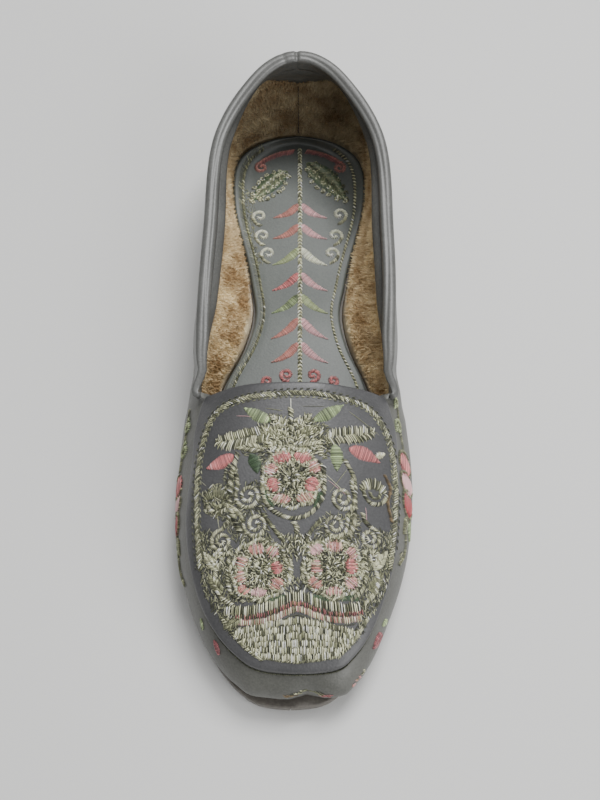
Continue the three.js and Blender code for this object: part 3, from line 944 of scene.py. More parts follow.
# %% [markdown]
# ## Stitches
# A few ways of sewing make the whole pattern. Satin lays threads from one edge line to another. A leaf is
# satin in one or two halves. A comb is two layers of satin: one colour below, and coarser thread of another
# above. A rope is short slanting stitches along a path, and a spiral is a rope that winds in. A patch is a
# round of satin with a roped edge. A tangle fills an outline with short stitches that point away from a
# middle.

# %% Paths
chance = random.Random(7)


def length_of(path):
    return float(np.linalg.norm(np.diff(path, axis=0), axis=1).sum())


def point_on(path, t):
    """Point at a share of a path's length."""
    walked = np.concatenate([[0], np.cumsum(np.linalg.norm(np.diff(path, axis=0), axis=1))])
    return np.array([np.interp(t * walked[-1], walked, path[:, k]) for k in (0, 1)])


def curve_through(points, steps=10):
    """A smooth path through a few points."""
    points = np.array(points, float)
    ends = np.vstack([2 * points[0] - points[1], points, 2 * points[-1] - points[-2]])
    path = []
    for a, b, c, d in zip(ends, ends[1:], ends[2:], ends[3:]):
        for t in np.linspace(0, 1, steps, endpoint=False):
            bend = (2 * a - 5 * b + 4 * c - d) * t**2 + (3 * b - 3 * c + d - a) * t**3
            path.append(0.5 * (2 * b + (c - a) * t + bend))
    path.append(points[-1])
    return np.array(path)


def beside(path, distance):
    ahead = np.gradient(path, axis=0)
    ahead /= np.linalg.norm(ahead, axis=1)[:, None]
    return path + np.stack([-ahead[:, 1], ahead[:, 0]], axis=1) * distance


def arc(x, y, rx, ry, start, end, steps=20):
    return np.array([(x + rx * math.cos(a), y + ry * math.sin(a)) for a in np.linspace(start, end, steps)])


def disc(x, y, radius):
    """The outline of a disc; it stops short of a full turn, and its last side closes it."""
    return arc(x, y, radius, radius, 0, 6).tolist()


def is_inside(outline, x, y):
    within = False
    for (x0, y0), (x1, y1) in zip(outline, outline[1:] + outline[:1]):
        if (y0 > y) != (y1 > y) and x < x0 + (x1 - x0) * (y - y0) / (y1 - y0):
            within = not within
    return within


print("a ring 10 mm across is", round(length_of(arc(0, 0, 5, 5, 0, 2 * math.pi)), 1), "mm round")

# %% Sizes of thread, and how uneven its stitches are
SPACING, THREAD_RADIUS = 0.32, 0.14
COARSE_SPACING, COARSE_RADIUS = 0.72, 0.2
STITCH_SHARES = (0.0, 0.18, 0.5, 0.82, 1.0)
END_TAPER = (0.55, 1, 1, 1, 0.55)
STITCH_SINK, LIGHTEST = 0.05, 0.9
RADIUS_RANGE, RAGGED_RANGE = (0.88, 1.12), (-0.6, 1)
ROPE_RANGE, TANGLE_RANGE = (0.8, 1.25), (0.6, 1.2)
SATIN_JITTER, TANGLE_JITTER = 0.25, 0.4
LEAF_POINTS, LEAF_ROUND, VEIN_SLANT = 25, 0.85, 3
SPIRAL_POINTS, SPIRAL_IN, LOOK_AHEAD = 40, 0.82, 0.01
PATCH_EDGE, PATCH_SWEEP = 0.55, 4.6
print("thread", 2 * THREAD_RADIUS, "mm thick, coarse thread", 2 * COARSE_RADIUS, "mm")


# %% A chart and its stitches
class Chart:
    """Stitches on a flat chart: each is a list of (x, y, height), a colour and a radius."""

    def __init__(self):
        self.stitches = []

    def lay(self, a, b, colour, lift, radius=THREAD_RADIUS):
        if colour in BLENDS:
            colour = chance.choice(BLENDS[colour])
        base, tone_spread, metal = PALETTE[colour]
        tone = math.exp(chance.gauss(0, tone_spread))
        points = []
        for s in STITCH_SHARES:
            swell = lift * math.sqrt(max(0.0, 1 - (2 * s - 1) ** 2))
            points.append((a[0] + (b[0] - a[0]) * s, a[1] + (b[1] - a[1]) * s, swell - STITCH_SINK))
        tint = (*(min(LIGHTEST, c * tone) for c in base), metal)
        self.stitches.append((points, tint, radius * chance.uniform(*RADIUS_RANGE)))

    def satin(
        self, left, right, colour, lift=0.45, ragged=0.2, spacing=SPACING, radius=THREAD_RADIUS, missing=0.0,
    ):
        left, right = np.array(left, float), np.array(right, float)
        count = max(2, round(max(length_of(left), length_of(right)) / spacing))
        for i in range(count):
            t = (i + 0.5 + chance.uniform(-SATIN_JITTER, SATIN_JITTER)) / count
            a, b = point_on(left, t), point_on(right, t)
            reach = (b - a) / max(1e-6, np.linalg.norm(b - a))
            a -= reach * chance.uniform(*RAGGED_RANGE) * ragged
            b += reach * chance.uniform(*RAGGED_RANGE) * ragged
            if chance.random() >= missing:
                self.lay(a, b, colour, lift, radius)

    def comb(
        self, left, right, colour, under="dark", ragged=0.6, spacing=COARSE_SPACING, radius=COARSE_RADIUS,
    ):
        # a dark under layer shows between the coarse stitches as painted shade
        self.satin(left, right, under, lift=0.2, ragged=0.1)
        self.satin(left, right, colour, 0.6, ragged, spacing, radius, missing=0.08)

    def leaf(self, base, tip, wide, colour, bend=0.0, vein=True, full=0.8, lift=0.5):
        base, tip = np.array(base, float), np.array(tip, float)
        side = np.array([-(tip - base)[1], (tip - base)[0]]) / np.linalg.norm(tip - base)
        ts = np.linspace(0, 1, LEAF_POINTS)
        spine = np.array([base + (tip - base) * t + side * bend * math.sin(math.pi * t) for t in ts])
        half = np.array([wide / 2 * max(0, math.sin(math.pi * t**full)) ** LEAF_ROUND for t in ts])
        left, right = (spine + side * (h * half)[:, None] for h in (1, -1))
        if not vein:
            self.satin(left, right, colour, lift)
            return
        for edge in (left, right):
            self.satin(spine[:-VEIN_SLANT], edge[VEIN_SLANT:], colour, lift)

    def rope(self, path, wide, colour, lift=0.65, slant=0.6, spacing=0.48, radius=0.165):
        path = np.array(path, float)
        count = max(2, round(length_of(path) / spacing))
        for i in range(count):
            t = (i + 0.5) / count
            ahead = point_on(path, min(1, t + LOOK_AHEAD)) - point_on(path, max(0, t - LOOK_AHEAD))
            ahead = ahead / max(1e-6, np.linalg.norm(ahead))
            across = np.array([-ahead[1], ahead[0]])
            reach = across * wide / 2 * chance.uniform(*ROPE_RANGE) + ahead * wide / 2 * slant
            here = point_on(path, t)
            self.lay(here - reach, here + reach, colour, lift, radius)

    def spiral(self, centre, radius, turns, start, way, wide, colour):
        angles = np.linspace(0, 2 * math.pi * turns, SPIRAL_POINTS)
        reach = radius * (1 - SPIRAL_IN * angles / angles[-1])
        turned = start + way * angles
        path = np.stack([centre[0] + reach * np.cos(turned), centre[1] + reach * np.sin(turned)], axis=1)
        self.rope(path, wide, colour)
        return path[0]

    def patch(self, x, y, rx, ry, colour, edge, edge_wide=1.0, lift=0.6, turned=0.0, ragged=0.8):
        start = turned + math.pi / 2
        left, right = (arc(x, y, rx, ry, start, start + half_turn) for half_turn in (math.pi, -math.pi))
        self.satin(left, right, colour, lift, ragged)
        turn = chance.uniform(0, 6)
        rim = arc(x, y, rx + PATCH_EDGE, ry + PATCH_EDGE, turn, turn + PATCH_SWEEP, 24)
        self.rope(rim, edge_wide, edge, lift=0.6, slant=0.2)

    def tangle(
        self, outline, middle, colour, length=1.8, spacing=0.62, spread_angle=0.6, lift=0.3, radius=0.12,
        clear=(),
    ):
        """clear lists discs, as x, y and radius, that stay free of stitches."""
        xs, ys = [p[0] for p in outline], [p[1] for p in outline]
        for gx in np.arange(min(xs), max(xs), spacing):
            for gy in np.arange(min(ys), max(ys), spacing):
                x, y = (g + chance.uniform(-TANGLE_JITTER, TANGLE_JITTER) for g in (gx, gy))
                if not is_inside(outline, x, y):
                    continue
                if any(math.hypot(x - cx, y - cy) < reach for cx, cy, reach in clear):
                    continue
                angle = math.atan2(y - middle[1], x - middle[0]) + chance.gauss(0, spread_angle)
                half = length / 2 * chance.uniform(*TANGLE_RANGE)
                run = np.array([math.cos(angle), math.sin(angle)]) * half
                self.lay((x - run[0], y - run[1]), (x + run[0], y + run[1]), colour, lift, radius)


print("ways of sewing:", [name for name in vars(Chart) if not name.startswith("_")])

# %% Drape a chart over a piece
RAY_HEIGHT = 0.2


def drape_over(piece):
    """Gives a function from a chart's point to a place above the piece."""
    corners = [v.co for v in piece.data.vertices]
    tree = BVHTree.FromPolygons(corners, [tuple(p.vertices) for p in piece.data.polygons])

    def place(x, y, height):
        hit, facing, _, _ = tree.ray_cast(Vector((x * MM, y * MM, RAY_HEIGHT)), Vector((0, 0, -1)))
        return None if hit is None else hit + facing * (height * MM)

    return place


def on_wall(loop, v, height):
    """On the side wall a chart's x is the loop value and its y the profile value."""
    return Vector(shell(loop, v, height) * MM)


print("a place on the wall:", [round(c, 4) for c in on_wall(CORNER["station"], GIRTH, 0)])


# %% Sew a chart onto a piece
def sew(name, chart, place, slot, sides=4):
    points, edges, widths, tints = [], [], [], []
    for stitch, tint, thick in chart.stitches:
        placed = [place(*p) for p in stitch]
        if any(p is None for p in placed):
            continue
        edges += [(len(points) + i, len(points) + i + 1) for i in range(len(placed) - 1)]
        points += placed
        widths += [thick * MM * taper for taper in END_TAPER]
        tints += tint * len(placed)
    mesh = bpy.data.meshes.new(name)
    mesh.from_pydata(points, edges, [])
    mesh.attributes.new("thickness", "FLOAT", "POINT").data.foreach_set("value", widths)
    mesh.attributes.new("tint", "FLOAT_COLOR", "POINT").data.foreach_set("color", tints)
    piece = add_object(name, mesh)
    run_tree(piece, tubes, Fineness=1.0, Sides=sides, Thread=THREAD)
    print(name, "has", len(chart.stitches), "stitches")
    return place_piece(piece, slot)


# %% [markdown]
# ## The apron's ground
# Between the motifs the leather is nearly hidden by metal thread in short strokes. They are sewn first and
# lie lowest. Each area is an outline and the middle that its strokes point away from. They keep clear of
# the coils that come later, so that the dark leather shows between a coil's turns.

# %% Apron ground
# x, y, radius, start angle, way round, x and y where its lead begins
APRON_SPIRALS = [
    (16.4, -60.2, 4.3, 0.4, -1, 20.4, -52),
    (-15.8, -59.6, 4.5, 2.7, 1, -21.4, -49.6),
    (-13.2, -69.3, 4.2, 2.9, 1, -22, -62.6),
    (13.8, -69.4, 4.2, 0.2, -1, 20.8, -62.4),
    (-24.8, -74.3, 3.8, 1.6, 1, -22.4, -66),
    (25.7, -72.8, 3.7, 1.5, -1, 23.4, -64.6),
    (-26, -80.4, 2.4, 0.8, 1, -21.6, -78),
    (27.2, -79.4, 2.4, 2.3, -1, 22.8, -77.2),
]
COIL_CLEARANCE = 0.9
# the middle that an area's strokes point away from, and its outline
APRON_GROUND = [
    ((-1, -48), [
        (-14, -36), (-9, -31.5), (-5, -32), (-2, -34), (0, -34), (4, -31.5), (8, -33.5), (13, -37.5),
        (13, -42), (11, -48), (6, -44.5), (-6, -44.5), (-11, -50), (-18, -45), (-17, -38),
    ]),
    ((-0.9, -54), disc(-0.9, -54, 9.8)),
    ((-15.5, -60), [
        (-24, -47), (-19.6, -50), (-19, -56), (-12, -54.5), (-11, -60), (-9.6, -66), (-7.6, -75),
        (-14, -77), (-20, -75), (-24.6, -68), (-24.6, -58),
    ]),
    ((14, -69), [
        (20.4, -63), (22.6, -67), (22, -76), (15, -77), (6, -75), (8, -69), (11, -65.4), (17.6, -65.8),
    ]),
    ((-11.6, -84.2), disc(-11.6, -84.2, 10.6)),
    ((13.4, -83.4), disc(13.4, -83.4, 10.6)),
    ((-26, -108), [
        (-33.6, -71), (-29, -70), (-21, -75), (-20.6, -86), (-19, -94), (-23.6, -101), (-27, -97),
        (-30.6, -90), (-32.6, -82),
    ]),
    ((28, -108), [
        (34.4, -71), (29, -69), (23, -75), (22.8, -85), (21, -94), (25.4, -99), (28.4, -95), (31.6, -88),
        (33.6, -80),
    ]),
    ((0.8, -84), [(-5, -79), (-4, -73), (5.4, -73), (5.6, -79)]),
    ((-26.6, -66), [(-32, -57), (-27, -54.4), (-23, -56), (-23, -64), (-26, -67), (-31, -64)]),
    ((-15, -96), [
        (-25, -98), (-18, -97.6), (-18.2, -102), (-15.6, -106), (-12.6, -110.4), (-16, -109),
        (-22.6, -103),
    ]),
    ((16, -94), [
        (25.4, -96), (22, -96.6), (21.4, -101), (18.6, -106), (15.6, -110), (19.4, -108), (24, -102),
    ]),
]
coil_discs = [(x, y, COIL_CLEARANCE * radius_mm) for x, y, radius_mm, *_ in APRON_SPIRALS]
ground_chart = Chart()
for middle, outline in APRON_GROUND:
    ground_chart.tangle(outline, middle, "ground", clear=coil_discs)
on_apron = drape_over(apron)
sew("apron_ground", ground_chart, on_apron, "apron_leather", 3)

# %% [markdown]
# ## The apron's motifs
# From the throat down to the toe: a sprig of leaves on a stem, a flower in a scrolled frame, and a pair of
# flowers below it. A mirror would halve the tables, but the two sides of hand embroidery are alike and
# never the same, so each motif has its own row.

# %% Leaves of the sprig and the border
motifs = Chart()
# from x, y to x, y, width, bend, colour
APRON_LEAVES = [
    (-8.4, -34.4, -17.7, -29, 4.3, 0.3, "green"),
    (6.6, -34.2, 16.8, -27.7, 4.3, -0.3, "green"),
    (-21, -45.5, -30.6, -48.8, 4.8, 0.4, "pink"),
    (18.7, -42.9, 29.6, -46.4, 5, 0.4, "pink"),
    (-15.2, -45.4, -12.8, -52.2, 4.8, 0.6, "dark_green"),
    (13.8, -42, 14.5, -51.2, 4.6, 0.4, "green"),
    (-2.4, -36.4, -8.9, -32, 3.4, 0.2, "zari"),
    (0.6, -36, 6, -31.8, 3.2, -0.2, "zari"),
    (-2.2, -40, -12.2, -36, 4, 0.3, "olive"),
    (0.4, -39.6, 8.2, -35.6, 4, -0.3, "olive"),
    (-2.6, -43.6, -10.4, -41.4, 4.2, 0.6, "zari"),
    (0.6, -43.4, 9.8, -41.6, 4.2, -0.6, "zari"),
    (-10.6, -44.2, -20.6, -43, 3.4, -0.5, "zari"),
    (-25.4, -84, -31, -77, 3.4, 0.4, "cream"),
    (-23.8, -91, -29.2, -84.4, 3.4, 0.4, "olive"),
    (26.6, -83.2, 31.8, -76, 3.4, -0.4, "cream"),
    (25.2, -90.2, 30.2, -83.4, 3.4, -0.4, "olive"),
    (28, -44.8, 31.6, -42.8, 2.4, 0, "bright"),
    (-18, -99.4, -23.8, -102.2, 3, 0.2, "olive"),
]
PLAIN_LEAVES = ("green", "pink", "dark_green")
for x0, y0, x1, y1, wide, bend, colour in APRON_LEAVES:
    motifs.leaf((x0, y0), (x1, y1), wide, colour, bend, vein=colour not in PLAIN_LEAVES)
print("leaves:", len(APRON_LEAVES), "with", len(motifs.stitches), "stitches")

# %% Comb leaves and stem of the sprig
# width, points along the middle
COMB_LEAVES = [
    (6.4, [(-8.6, -38), (-16, -39.4), (-23, -40.2), (-27.8, -39.4)]),
    (5.8, [(10.4, -40.4), (17, -38.6), (23, -37.4), (28.2, -35)]),
]
COMB_BASE, COMB_TIP = -0.85, 0.98
for wide, points in COMB_LEAVES:
    spine = curve_through(points)
    half = wide / 2 * np.sqrt(1 - np.linspace(COMB_BASE, COMB_TIP, len(spine)) ** 2)[:, None]
    side = beside(spine, 1) - spine
    for edge in (spine + side * half, spine - side * half):
        motifs.comb(spine[:-1], edge[1:], "pale_zari", ragged=0.8, spacing=0.66)
RAISED = {"length": 1.8, "spread_angle": 0.5, "lift": 0.6, "radius": 0.17}
SPRIG_OUTLINE = [(-12, -37), (-4, -33), (2, -33), (10, -37), (9, -46), (-10, -46)]
motifs.tangle(SPRIG_OUTLINE, (-1, -50), "pale_zari", spacing=0.98, **RAISED)
motifs.rope([(-1.5, -29.8), (-1.3, -37), (-1, -45.5)], 1.8, "zari", lift=0.85)
motifs.lay((-1.5, -26.4), (-1.4, -30.8), "bright", lift=0.3)
print("stitches in the sprig and the border:", len(motifs.stitches))

# %% Petals
# x, y, half sizes in x and y, colour
PETALS = [
    (-4.3, -47, 2.9, 2.1, "pink"), (2.7, -46.8, 2.9, 2.1, "pink"), (-8, -50.9, 2.3, 1.8, "petal"),
    (6.7, -50.2, 2, 2, "petal"), (-7.4, -56.2, 2.3, 2.3, "pink"), (6, -56, 2.8, 2.3, "pink"),
    (-4.4, -60.9, 2.9, 1.8, "petal"), (3.6, -60.5, 2.9, 1.8, "petal"),
    (-12.8, -77.4, 2.5, 1.9, "petal"), (-7.4, -78.4, 2.1, 1.8, "petal"), (-17.7, -81.7, 2.1, 2, "petal"),
    (-5.8, -83.5, 2, 1.9, "pink"), (-18, -86.2, 2, 1.9, "petal"), (-5.9, -88.6, 2.4, 1.9, "petal"),
    (-17, -90.4, 2, 1.5, "petal"), (-11.9, -91.4, 2.5, 1.4, "blush"),
    (7.3, -77.4, 2.3, 1.9, "blush"), (13.4, -76.2, 2.8, 1.9, "petal"), (19.4, -78.4, 1.9, 1.9, "petal"),
    (7.5, -83.1, 2.1, 2, "petal"), (19.2, -82.7, 2.3, 2.4, "pink"), (7.1, -88.2, 2.4, 1.9, "petal"),
    (19.3, -88, 2.2, 2, "petal"), (13.5, -91, 2.7, 1.5, "petal"),
]
FLOWERS = [(-0.9, -54), (-11.6, -84.2), (13.4, -83.4)]
for x, y, half_x, half_y, colour in PETALS:
    middle = min(FLOWERS, key=lambda flower: math.hypot(x - flower[0], y - flower[1]))
    outward = math.atan2(y - middle[1], x - middle[0])
    motifs.patch(x, y, half_x, half_y, colour, "zari", lift=0.75, turned=outward, ragged=0.9)
print("petals:", len(PETALS), "on", len(FLOWERS), "flowers")

# %% Eyes, rims and fill of the flowers
EYE_RADIUS, FILL_RADIUS, RIM_RADIUS = 2.2, 9.4, 9.7
SCALLOPS, SCALLOP_DEPTH = 8, 0.5
for x, y in FLOWERS:
    motifs.rope(arc(x, y, EYE_RADIUS, EYE_RADIUS, 0, 2 * math.pi, 18), 1.4, "zari", lift=0.75)
    scallops = []
    for a in np.linspace(0, 2 * math.pi, 60):
        reach = RIM_RADIUS + SCALLOP_DEPTH * math.cos(SCALLOPS * a)
        scallops.append((x + reach * math.cos(a), y + reach * math.sin(a)))
    motifs.rope(scallops, 1.2, "pale_zari", lift=0.6)
    fill = disc(x, y, FILL_RADIUS)
    motifs.tangle(fill, (x, y), "zari", length=1.35, spacing=0.85, spread_angle=0.8, lift=0.66, radius=0.17)
motifs.rope([(-1.1, -50), (-1, -57.4)], 1, "dark", lift=0.9)
BETWEEN_FLOWERS = [
    ((0.9, -66), [(-5, -72), (6, -72), (3.4, -81), (-1.6, -81)]),
    ((0.9, -98), [(-1.6, -86), (3.4, -86), (5, -92), (-3.4, -92)]),
]
for middle, outline in BETWEEN_FLOWERS:
    motifs.tangle(outline, middle, "zari", spacing=1, **RAISED)
print("stitches with the flowers:", len(motifs.stitches))

# %% Coils
COIL_TURNS, COIL_WIDE, LEAD_BEND = 1.8, 1.25, 0.8
for x, y, radius_mm, start, way, lead_x, lead_y in APRON_SPIRALS:
    end = motifs.spiral((x, y), radius_mm, COIL_TURNS, start, way, COIL_WIDE, "pale_zari")
    middle = ((end[0] + lead_x) / 2 + LEAD_BEND * way, (end[1] + lead_y) / 2)
    motifs.rope(curve_through([(lead_x, lead_y), middle, end]), 1.4, "zari")
print("coils:", len(APRON_SPIRALS))

# %% Scrolls and curls
# width, colour, points
APRON_ROPES = [
    (1.9, "zari", [(-19.6, -44.6), (-21.4, -51), (-22.2, -58), (-21.4, -65), (-18.4, -71.6)]),
    (1.5, "zari", [(17, -46.8), (20.4, -53), (20.8, -60), (20.4, -68), (18.6, -73)]),
    (1.5, "zari", [
        (-10.8, -49.6), (-11, -57), (-8.6, -63.6), (-1.6, -67.2), (5.4, -65.6), (9.8, -59.4), (10, -49.6),
    ]),
    (1.4, "olive", [(-10.8, -65.6), (-7, -70.6), (-3.4, -75)]),
    (1.4, "olive", [(9, -67.6), (6, -71), (3.8, -75)]),
    (1.6, "pale_zari", [(-0.4, -68.4), (0.8, -70.2), (0.6, -72.2)]),
    (1.3, "zari", [(-21.4, -78), (-22.6, -84), (-21.4, -91), (-16.6, -94.4)]),
    (1.3, "zari", [(23.6, -76.6), (24.4, -83), (23.2, -89.6), (19, -93.6)]),
    (1.3, "pale_zari", [(-26.4, -84), (-27, -88), (-24.4, -92.6), (-20.6, -95)]),
    (1.3, "pale_zari", [(27.8, -83.4), (28.4, -87), (26.4, -91.8), (23.4, -94.4)]),
    (1, "brown", [(31.2, -50.4), (33.2, -55), (32.2, -60), (33.6, -66.6)]),
    (1.2, "pale_zari", [(-1.6, -80), (-0.8, -84), (-1.8, -88.6)]),
    (1.2, "pale_zari", [(3.4, -80), (2.6, -84), (3.4, -88.6)]),
]
for wide, colour, points in APRON_ROPES:
    motifs.rope(curve_through(points), wide, colour)
motifs.leaf((-10.2, -57.6), (-7, -63.6), 2.4, "dark_green", bend=-0.4)
motifs.leaf((9.2, -58.4), (6.4, -63.8), 2.6, "dark_green", bend=0.4)
for x, y, lit in ((27, -57, "pale_zari"), (-26.9, -60.4, "olive")):
    motifs.comb(arc(x, y + 0.4, 4.6, 4.2, math.pi, 0), arc(x, y - 0.4, 3.6, 1.2, math.pi, 0), lit)
    motifs.rope(arc(x + 0.8, y, 4, 4.2, math.pi, 2 * math.pi), 1.3, "zari")
    motifs.rope(arc(x + 0.8, y - 0.2, 1.8, 2, math.pi, 2 * math.pi), 1.1, "olive")
sew("apron_motifs", motifs, on_apron, "apron_leather")

# %% [markdown]
# Three bracket-shaped bands close the pattern, and below them a panel of satin rows narrows towards the
# toe. The panel's rows follow one bent line, so a loop sews them. A few fine loose ends come last.

# %% Bands
bands = Chart()
for x, y, long in ((-6.9, -93.4, 7.6), (8.6, -93.2, 7), (18.6, -92.8, 6.4)):
    above, below = ([(x + s * long / 2, y + rise) for s in (-1, 1)] for rise in (1.3, -1.1))
    bands.satin(above, below, "dark_green", lift=0.3)
# colour above, colour below, width, points
BANDS = [
    ("pale_zari", "dark", 3.2, [
        (-23.4, -96.6), (-16, -97.2), (-8, -95.6), (0.9, -92.6), (9.6, -95), (17, -96.2), (24.2, -95.2),
    ]),
    ("russet", "dark", 1.3, [
        (-19.6, -98.8), (-13, -99), (-6.4, -97.4), (0.9, -94.8), (8.4, -97), (15.6, -98.2), (23.2, -97.2),
    ]),
    ("pale_zari", "rosy", 1.9, [
        (-18.6, -100.7), (-12.4, -100.8), (-6, -99.2), (0.9, -96.6), (8.2, -98.9), (15.4, -100),
        (22.8, -99),
    ]),
]
for colour, under, wide, points in BANDS:
    path = curve_through(points)
    bands.comb(beside(path, wide / 2), beside(path, -wide / 2), colour, under, ragged=0.5)
SHADOW_LINE = [
    (-16.6, -102.6), (-10, -102.2), (-5.4, -100.8), (0.9, -98.6), (7.6, -100.6), (14, -101.8), (20.6, -101),
]
bands.rope(curve_through(SHADOW_LINE), 0.6, "dark", lift=0.15, slant=2, spacing=0.9)
print("stitches in the bands:", len(bands.stitches))

# %% Toe panel
PANEL_X, PANEL_TOP, PANEL_BOTTOM, PANEL_ROWS = 1, -99.4, -113.2, 6
PANEL_HALF_TOP, PANEL_HALF_BOTTOM, PANEL_TAPER = 21, 13, 1.4
PANEL_DROOP, PANEL_RISE, RISE_POWER, BRACKET_POWER = 3.8, 7, 1.5, 1.3
ROW_COVER = 0.92


def panel_line(t, half):
    """A bracket across the panel; t runs from its top edge, which droops, to its bottom edge, which rises."""
    xs = np.linspace(-half, half, 31)
    droop = (PANEL_DROOP - PANEL_RISE * t**RISE_POWER) * np.abs(xs / PANEL_HALF_TOP) ** BRACKET_POWER
    return np.stack([PANEL_X + xs, PANEL_TOP + (PANEL_BOTTOM - PANEL_TOP) * t - droop], axis=1)


PANEL_SIDES = [
    [(-24.6, -98.6), (-20, -104.6), (-15.6, -109), (-10.4, -112.6)],
    [(25.6, -97.6), (22, -103.4), (18.8, -107.6), (14.6, -111.6)],
]
PEARL_ROW = {"lift": 0.6, "ragged": 0.7, "spacing": 0.5, "radius": 0.17, "missing": 0.14}
for t in spread(0, 1, PANEL_ROWS)[:-1]:
    narrowed = (t + 0.5 / PANEL_ROWS) ** PANEL_TAPER
    half = PANEL_HALF_TOP + (PANEL_HALF_BOTTOM - PANEL_HALF_TOP) * narrowed
    row_top = panel_line(t, half)
    bands.satin(row_top, panel_line(t + 1 / PANEL_ROWS, half), "ground", lift=0.2, ragged=0.3)
    bands.satin(row_top, panel_line(t + ROW_COVER / PANEL_ROWS, half), "pearl", **PEARL_ROW)
bands.rope(panel_line(1, PANEL_HALF_BOTTOM), 0.9, "plait", lift=0.3)
for points in PANEL_SIDES:
    bands.rope(curve_through(points), 1.2, "zari", lift=0.4)
print("stitches with the toe panel:", len(bands.stitches))

# %% Loose ends
# from x, y to x, y
LOOSE_ENDS = [
    (10.6, -52.4, 20.6, -61.4), (12, -58.6, 18, -50.4), (11.4, -54.4, 17.6, -59), (-35, -57.4, -27, -57),
    (-27.6, -58.6, -25.6, -70.4), (-20.6, -31.4, -13.4, -32.6), (-10.4, -29.6, -4.2, -30.8),
    (2, -29.2, 11, -29), (18.6, -29.4, 30, -36.8), (10.4, -35.4, 17, -38.8), (24.4, -62.4, 24.8, -69),
    (-34.4, -50.8, -30.6, -55),
]
for x0, y0, x1, y1 in LOOSE_ENDS:
    bands.lay((x0, y0), (x1, y1), chance.choice(["olive", "bright", "blush"]), lift=0.25, radius=0.08)
sew("apron_bands", bands, on_apron, "apron_leather")

# %% [markdown]
# ## The braid round the apron
# A chain of slanting loops lies on a dark ground, with a row of dashes on either side; the outer dashes are
# dark thread laid as painted shade in the holes beside the chain. It follows the throat and then the apron's
# edge, a few millimetres in, and runs out in the leaves beside the lower flowers. A dark line of thread under
# the panel's edge is painted shadow, for the gap under the folded edge. One link could be modelled and
# repeated along a curve, but ropes side by side take the tones of the thread stitch by stitch.

# %% Braid
braid_chart = Chart()
BRAID_LINE = [
    (-32, -83), (-33.3, -72), (-34, -59), (-33.6, -46), (-31.8, -36.4), (-28.6, -29.6),
    (-23, -26.4), (-14, -25.2), (0.3, -24.5), (14, -25), (24, -26.4), (29.6, -30.6), (33.2, -37.4),
    (35, -46), (35.2, -58.6), (34.2, -72), (32.6, -82),
]
braid = curve_through(BRAID_LINE)
# distance beside the line, width, colour, lift, slant, spacing, radius
BRAID_ROPES = [
    (0.55, 1, "ground", 0.2, 1.2, 0.5, 0.13),
    (-0.55, 1, "ground", 0.2, -1.2, 0.5, 0.13),
    (0, 1.3, "chain", 0.45, -1.1, 0.85, 0.16),
    # the dark dashes on the side towards the apron's edge are painted shade in the holes beside the chain
    (1.5, 0.3, "dark", 0.25, 4, 2.3, 0.24),
    (-1.4, 0.3, "olive", 0.2, 4, 1.9, 0.18),
]
for distance, *style in BRAID_ROPES:
    braid_chart.rope(beside(braid, distance), *style)
sew("apron_braid", braid_chart, on_apron, "apron_leather")

# %% Painted shadow under the apron's edge
# a line of dark thread along the apron's front edge: painted shadow of the gap under the folded edge
edge_shadow_chart = Chart()
EDGE_SHADOW_START, EDGE_SHADOW_END, EDGE_SHADOW_STEPS = 0.64, 1.36, 300
EDGE_SHADOW_DROP, EDGE_SHADOW_OVERLAP = 0.012, 0.3
edge_shadow_loops = spread(EDGE_SHADOW_START, EDGE_SHADOW_END, EDGE_SHADOW_STEPS)
edge_shadow_points = [(loop, apron_edge_v(loop) - EDGE_SHADOW_DROP) for loop in edge_shadow_loops]
for (loop0, v0), (loop1, v1) in zip(edge_shadow_points, edge_shadow_points[1:]):
    overlap = EDGE_SHADOW_OVERLAP * (loop1 - loop0)
    edge_shadow_chart.lay((loop0, v0), (loop1 + overlap, v1), "dark", lift=0.2, radius=0.3)
sew("apron_edge_painted_shadow", edge_shadow_chart, on_wall, "apron_leather")

# %% [markdown]
# ## The insole's pattern
# A stem runs along the middle with pairs of leaves on it, scrolls at heel and throat, and a stitched
# border. The leaves are alike, so one loop sews them all and a table holds what differs; the border follows
# the sock's own edge and needs no points.

# %% Insole leaves and stem
insole_chart = Chart()
# y on the stem, colour of the left leaf and of the right one, drop of their tips
PAIRS = [
    (83.6, "rose", "blush", 7.4), (73.2, "rose", "blush", 7.4), (61.6, "pale_green", "white", 8.6),
    (49.4, "pink", "blush", 9), (38.8, "green", "pale_green", 9.4), (27.4, "rose", "blush", 9.8),
    (16.2, "rose", "blush", 9),
]
STEM_X, LEAF_START, LEAF_REACH, LEAF_WIDE, LEAF_BEND = 1.5, 0.6, 11.2, 3.5, -1.3
for y, left, right, drop in PAIRS:
    for side, colour in ((-1, left), (1, right)):
        base, tip = (STEM_X + side * LEAF_START, y - LEAF_START), (STEM_X + side * LEAF_REACH, y - drop)
        insole_chart.leaf(base, tip, LEAF_WIDE, colour, side * LEAF_BEND, vein=False, full=0.55)
stem = curve_through([(1.3, 112.5), (1.5, 60), (1.7, -6)], steps=40)
insole_chart.rope(stem, 1.6, "plait", lift=0.25)
for offset, slant in ((0.42, 1.5), (-0.42, -1.5)):
    insole_chart.rope(beside(stem, offset), 0.85, "pearl", lift=0.5, slant=slant, spacing=1.6, radius=0.27)
print("stitches in the stem and its leaves:", len(insole_chart.stitches))

# %% Insole scrolls and heel leaves
# x, y, radius, start angle, way round
THROAT_CURLS = [
    (-3.4, 2, 2.8, -1.2, -1), (6.8, 2, 2.8, 4.3, 1), (-11, -0.6, 2.3, -1.2, -1), (14.4, -0.4, 2.3, 4.3, 1),
]
for x, y, size, start, way in THROAT_CURLS:
    insole_chart.spiral((x, y), size, 1.3, start, way, 1.5, "pink")
